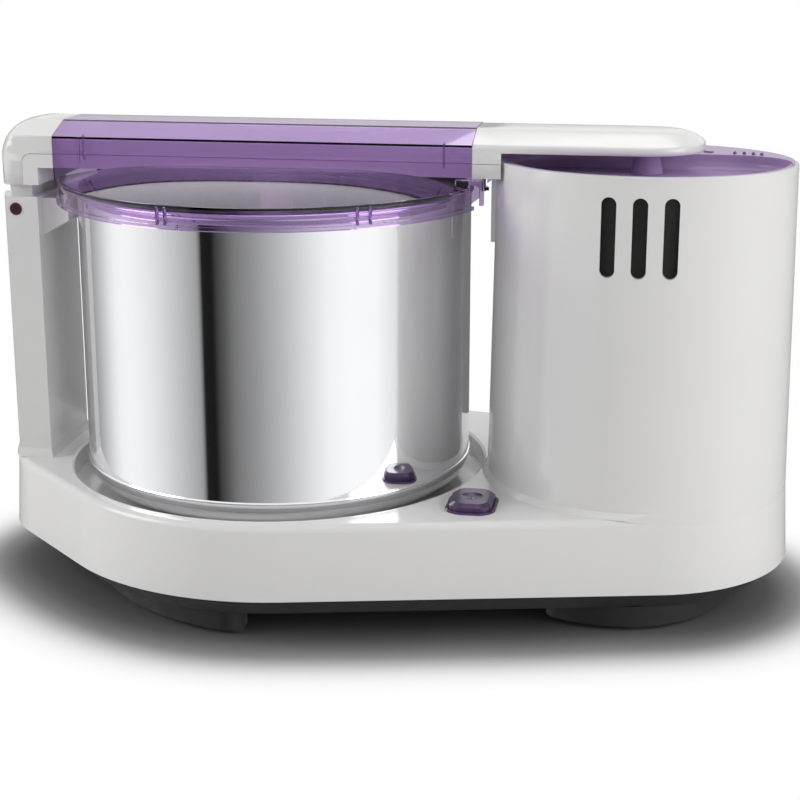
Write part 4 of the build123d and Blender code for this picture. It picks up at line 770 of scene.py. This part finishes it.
class GRINDER_OT_drum(bpy.types.Operator):
    """Mirror-polished drum, stones and their axles"""

    bl_idname = "grinder.drum"
    bl_label = "Drum and stones"

    def execute(self, context):
        mirror = metal(
            "Mirror_steel", (0.86, 0.865, 0.88), 0.055, scratch=(1, 1, 26), scale=70.0, depth=0.012,
            spread=0.01,
        )
        for node in ("drum_shell", "centre_tube"):
            finish_node(node, mirror)
        stone = granite("Black_granite")
        for node in ("base_stone", "roller_stone_1", "roller_stone_2"):
            finish_node(node, stone)
        ground = metal("Ground_steel", (0.62, 0.62, 0.64), 0.22)
        for node in ("hinge_pin", "spindle", "cup_spring", "switch_spring", "roller_axle_1", "roller_axle_2"):
            finish_node(node, ground)
        return {"FINISHED"}


class GRINDER_OT_springs(bpy.types.Operator):
    """Coil springs of the cup and the switch, copied from the model and riding on their bodies"""

    bl_idname = "grinder.springs"
    bl_label = "Springs"

    def execute(self, context):
        steel = bpy.data.materials["Ground_steel"]
        for node, joint, body, travel, hangs in SPRINGS:
            coil = plain_object(f"{node}_coil", NODES[node].data.copy())
            settle(coil, steel, body)
            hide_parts(node)
            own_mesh(coil)
        return {"FINISHED"}


class GRINDER_OT_motor(bpy.types.Operator):
    """Motor, its plate and its bearings"""

    bl_idname = "grinder.motor"
    bl_label = "Motor"

    def execute(self, context):
        bearing = metal("Bearing_steel", (0.52, 0.53, 0.55), 0.25)
        for node in ("spindle_bearing_1", "spindle_bearing_2"):
            finish_node(node, bearing)
        stack = metal("Laminations", (0.22, 0.22, 0.23), 0.45, scratch=(1, 1, 60), scale=30.0, depth=0.4)
        for node in ("motor_stator", "motor_rotor"):
            finish_node(node, stack)
        cast = metal("Cast_bell", (0.58, 0.59, 0.60), 0.5, scale=500.0, depth=0.25)
        for node in ("motor_bell_lower", "motor_bell_upper"):
            finish_node(node, cast)
        finish_node("motor_plate", moulded_grain("Painted_sheet", (0.10, 0.10, 0.11), rough=0.4))
        return {"FINISHED"}


class GRINDER_OT_tinted(bpy.types.Operator):
    """Clear lid, tower cap, arm rest and switch"""

    bl_idname = "grinder.tinted"
    bl_label = "Tinted parts"

    def execute(self, context):
        colours = context.scene.grinder_colours
        finish_node("clear_lid", clear_tint("Clear_tint", colours.lid))
        satin = moulded_gloss(
            "Cap_satin", colours.cap, rough=0.25, spread=0.015, ripple=0.02, wander=0.03,
        )
        finish_node("tower_cap", satin)
        finish_node("arm_rest", moulded_grain("Rest_pad", colours.cap, rough=0.7))
        switch = moulded_gloss("Switch_gloss", colours.switch, rough=0.2, spread=0.03)
        finish_node("switch_button", switch)
        finish_node("switch_bezel", switch)
        return {"FINISHED"}


class GRINDER_OT_marks(bpy.types.Operator):
    """Dots and pointer on the tower's rim, and the ring and bar on the switch"""

    bl_idname = "grinder.marks"
    bl_label = "Small marks"

    def execute(self, context):
        colours = context.scene.grinder_colours
        trim = context.scene.grinder_trim
        dark = moulded_gloss("Mark_dark", tuple(c * 0.25 for c in colours.cap), rough=0.35, spread=0.05)
        row = [(x, y, rim_level(y)) for x, y in RIM_DOT_LINE]
        tree_object(
            "rim_dots", rim_dots_tree(dark), row,
            {"Radius": trim.dot_radius, "Height": DOT_RISE * trim.dot_radius, "Count": trim.dot_count},
            dark, "base",
        )
        pointer = bmesh.new()
        for length, turn, along in POINTER_BARS:
            place = on_rim(RIM_POINTER[0] + along, RIM_POINTER[1], turn)
            add_block(pointer, (length, *POINTER_SECTION), POINTER_SOFT, place)
        settle(shaped("rim_pointer", pointer), dark, "base")
        # Ring and bar in the switch's thumb hollow
        low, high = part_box("switch_button")
        middle = box_middle(low, high, high.z - MARK_DROP)
        mark = bmesh.new()
        add_ring(mark, middle + Vector((MARK_RING_X, 0.0, 0.0)), MARK_RING, MARK_WIRE)
        add_block(
            mark, (2 * MARK_WIRE, MARK_BAR, 2 * MARK_WIRE), MARK_WIRE * 0.4,
            Matrix.Translation(middle + Vector((MARK_BAR_X, 0.0, 0.0))),
        )
        pale = moulded_gloss("Mark_pale", tuple(min(1, c * 2.6 + 0.05) for c in colours.switch), rough=0.3)
        settle(shaped("switch_mark", mark), pale, "button")
        return {"FINISHED"}


class GRINDER_OT_lid_trim(bpy.types.Operator):
    """Lugs and pip on the lid's rim, ribs on its tunnel and webs in its finger hooks"""

    bl_idname = "grinder.lid_trim"
    bl_label = "Lid trim"

    def execute(self, context):
        trim = context.scene.grinder_trim
        clear = bpy.data.materials["Clear_tint"]
        lugs = bmesh.new()
        for angle in LUG_ANGLES:
            across, tall = LUG_SECTION
            add_block(
                lugs, (across, trim.lug_width, tall), LUG_SOFT, about_drum(LUG_PLACE[0], angle, LUG_PLACE[1]),
            )
        add_pip(lugs, PIP_SIZE, about_drum(PIP_PLACE[0], PIP_ANGLE, PIP_PLACE[1]))
        settle(shaped("lid_lugs", lugs), clear, "lid")
        # Ribs down the tunnel's walls near both ends
        ribs = bmesh.new()
        low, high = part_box("arm_upper")
        for side, wall in ((-1, low.y), (1, high.y)):
            for x in TUNNEL_RIBS:
                place = Matrix.Translation((x, wall - side * RIB_SUNK, RIB_LEVEL))
                add_block(ribs, RIB_SIZE, RIB_SOFT, place)
        settle(shaped("tunnel_ribs", ribs), clear, "lid")
        # Web that fills each finger hook
        webs = bmesh.new()
        for side in (-1, 1):
            corners = [(x, side * y, z) for y in HOOK_WEB_Y for x, z in HOOK_WEB]
            made = [webs.verts.new(corner) for corner in corners]
            count = len(HOOK_WEB)
            webs.faces.new(made[:count])
            webs.faces.new(made[count:])
            for a in range(count):
                b = (a + 1) % count
                webs.faces.new((made[a], made[b], made[count + b], made[count + a]))
        settle(shaped("hook_webs", webs), clear, "lid")
        return {"FINISHED"}


def floor_material():
    """Floor whose colour is darkened close to the base by a painted shadow, besides the real shadow it keeps,
    and plain white further away.
    """
    material, tree, shader = new_material("Floor_white")
    shader.inputs["Roughness"].default_value = 0.9
    shader.inputs["Specular IOR Level"].default_value = 0.1
    where = tree.nodes.new("ShaderNodeTexCoord")
    away = None
    for middle, radius in FLOOR_LOBES:
        apart = tree.nodes.new("ShaderNodeVectorMath")
        apart.operation = "DISTANCE"
        apart.inputs[1].default_value = (middle, 0.0, 0.0)
        tree.links.new(where.outputs["Object"], apart.inputs[0])
        edge = math_node(tree, "SUBTRACT", apart.outputs["Value"], radius)
        away = edge if away is None else math_node(tree, "SMOOTH_MIN", away, edge, FLOOR_BLEND)
    # Painted shadow: the floor's colour grows darker the nearer it lies to the base's plan
    painted_shadow = grey_ramp(tree, map_range(tree, away, *FLOOR_SPAN), FLOOR_PAINTED_SHADOW)
    tree.links.new(painted_shadow, shader.inputs["Base Color"])
    glow = tree.nodes.new("ShaderNodeEmission")
    glow.inputs["Color"].default_value = WHITE
    path = tree.nodes.new("ShaderNodeLightPath")
    fade = map_range(tree, away, *FLOOR_FADE, smooth=True)
    share = math_node(tree, "MULTIPLY", path.outputs["Is Camera Ray"], fade)
    seen = mix_shaders(tree, share, shader.outputs["BSDF"], glow.outputs["Emission"])
    tree.links.new(seen, tree.nodes["Material Output"].inputs["Surface"])
    return material


def studio_world():
    """World that is even for the camera and for diffuse light, and banded by compass angle for gloss."""
    world = bpy.data.worlds.new("Studio")
    world.use_nodes = True
    tree = world.node_tree
    ground = tree.nodes["Background"]
    ground.inputs["Color"].default_value = WHITE
    ground.inputs["Strength"].default_value = STUDIO_LIGHT
    where = tree.nodes.new("ShaderNodeTexCoord")
    turned = tree.nodes.new("ShaderNodeVectorRotate")
    turned.rotation_type = "Z_AXIS"
    turned.inputs["Angle"].default_value = -math.radians(VIEW_AZIMUTH)
    parts = tree.nodes.new("ShaderNodeSeparateXYZ")
    tree.links.new(where.outputs["Generated"], turned.inputs["Vector"])
    tree.links.new(turned.outputs["Vector"], parts.inputs["Vector"])
    ahead = math_node(tree, "MULTIPLY", parts.outputs["Y"], -1.0)
    compass = math_node(tree, "ARCTAN2", parts.outputs["X"], ahead)
    stops = [((angle + 180) / 360, level) for angle, level in STUDIO_BANDS]
    bands = grey_ramp(tree, map_range(tree, compass, -math.pi, math.pi), stops)
    # Level faces mirror the white above the horizon, upright ones the bands below it
    lift = tree.nodes.new("ShaderNodeMixRGB")
    lift.inputs["Color2"].default_value = (STUDIO_SKY, STUDIO_SKY, STUDIO_SKY, 1.0)
    above = map_range(tree, parts.outputs["Z"], 0.0, STUDIO_HORIZON, smooth=True)
    tree.links.new(above, lift.inputs["Fac"])
    tree.links.new(bands, lift.inputs["Color1"])
    shine = tree.nodes.new("ShaderNodeBackground")
    shine.inputs["Strength"].default_value = STUDIO_SHINE
    tree.links.new(lift.outputs["Color"], shine.inputs["Color"])
    white = tree.nodes.new("ShaderNodeBackground")
    white.inputs["Color"].default_value = WHITE
    path = tree.nodes.new("ShaderNodeLightPath")
    even, banded = ground.outputs["Background"], shine.outputs["Background"]
    lit = mix_shaders(tree, path.outputs["Is Glossy Ray"], even, banded)
    seen = math_node(tree, "MAXIMUM", path.outputs["Is Camera Ray"], path.outputs["Is Transmission Ray"])
    whole = mix_shaders(tree, seen, lit, white.outputs["Background"])
    tree.links.new(whole, tree.nodes["World Output"].inputs["Surface"])
    return world


class GRINDER_OT_stage(bpy.types.Operator):
    """Floor with a painted shadow around the base, soft studio light and the camera"""

    bl_idname = "grinder.stage"
    bl_label = "Stage"

    def execute(self, context):
        scene = context.scene
        scene.view_settings.view_transform = "Standard"
        mesh = bpy.data.meshes.new("Floor")
        corners = [(FLOOR_REACH * x, FLOOR_REACH * y, 0) for x, y in ((-1, -1), (1, -1), (1, 1), (-1, 1))]
        mesh.from_pydata(corners, [], [(0, 1, 2, 3)])
        mesh.materials.append(floor_material())
        floor = plain_object("Floor", mesh)
        floor.visible_glossy = False
        scene.world = studio_world()
        for name, place, size, power in STUDIO_LAMPS:
            lamp = bpy.data.lights.new(name, "AREA")
            lamp.shape = "DISK"
            lamp.size = size
            lamp.energy = power
            holder = plain_object(name, lamp)
            holder.location = place
            holder.rotation_euler = (Vector(LAMP_AIM) - Vector(place)).to_track_quat("-Z", "Y").to_euler()
        camera = bpy.data.cameras.new("Camera")
        camera.sensor_width = 36.0
        camera.lens = VIEW_LENS
        camera.clip_start = 0.01
        camera.clip_end = 60.0
        eye = plain_object("Camera", camera)
        eye.location = VIEW_PLACE
        eye.rotation_euler = (math.radians(90 - VIEW_PITCH), 0.0, math.radians(VIEW_AZIMUTH))
        scene.camera = eye
        return {"FINISHED"}


class GRINDER_PT_sidebar(bpy.types.Panel):
    """Lists the steps that dress the grinder"""

    bl_label = "Wet grinder"
    bl_idname = "GRINDER_PT_sidebar"
    bl_space_type = "VIEW_3D"
    bl_region_type = "UI"
    bl_category = "Grinder"

    def draw(self, context):
        for name in ("body", "plate", "lid", "cap", "switch"):
            self.layout.prop(context.scene.grinder_colours, name)
        for name in ("dot_radius", "dot_count", "recess_width", "tip_reach", "lug_width"):
            self.layout.prop(context.scene.grinder_trim, name)
        for operator in STEPS:
            self.layout.operator(operator.bl_idname)


STEPS = (
    GRINDER_OT_mouldings,
    GRINDER_OT_arm_cover,
    GRINDER_OT_underside,
    GRINDER_OT_drum,
    GRINDER_OT_springs,
    GRINDER_OT_motor,
    GRINDER_OT_tinted,
    GRINDER_OT_marks,
    GRINDER_OT_lid_trim,
    GRINDER_OT_stage,
)
CLASSES = (GrinderColours, GrinderTrim, *STEPS, GRINDER_PT_sidebar)


def register():
    for each in CLASSES:
        bpy.utils.register_class(each)
    bpy.types.Scene.grinder_colours = PointerProperty(type=GrinderColours)
    bpy.types.Scene.grinder_trim = PointerProperty(type=GrinderTrim)


def unregister():
    del bpy.types.Scene.grinder_trim
    del bpy.types.Scene.grinder_colours
    for each in reversed(CLASSES):
        bpy.utils.unregister_class(each)


def main():
    """Dresses the frame."""
    register()
    for operator in STEPS:
        group, name = operator.bl_idname.split(".")
        getattr(getattr(bpy.ops, group), name)()


if __name__ == "__main__":
    main()
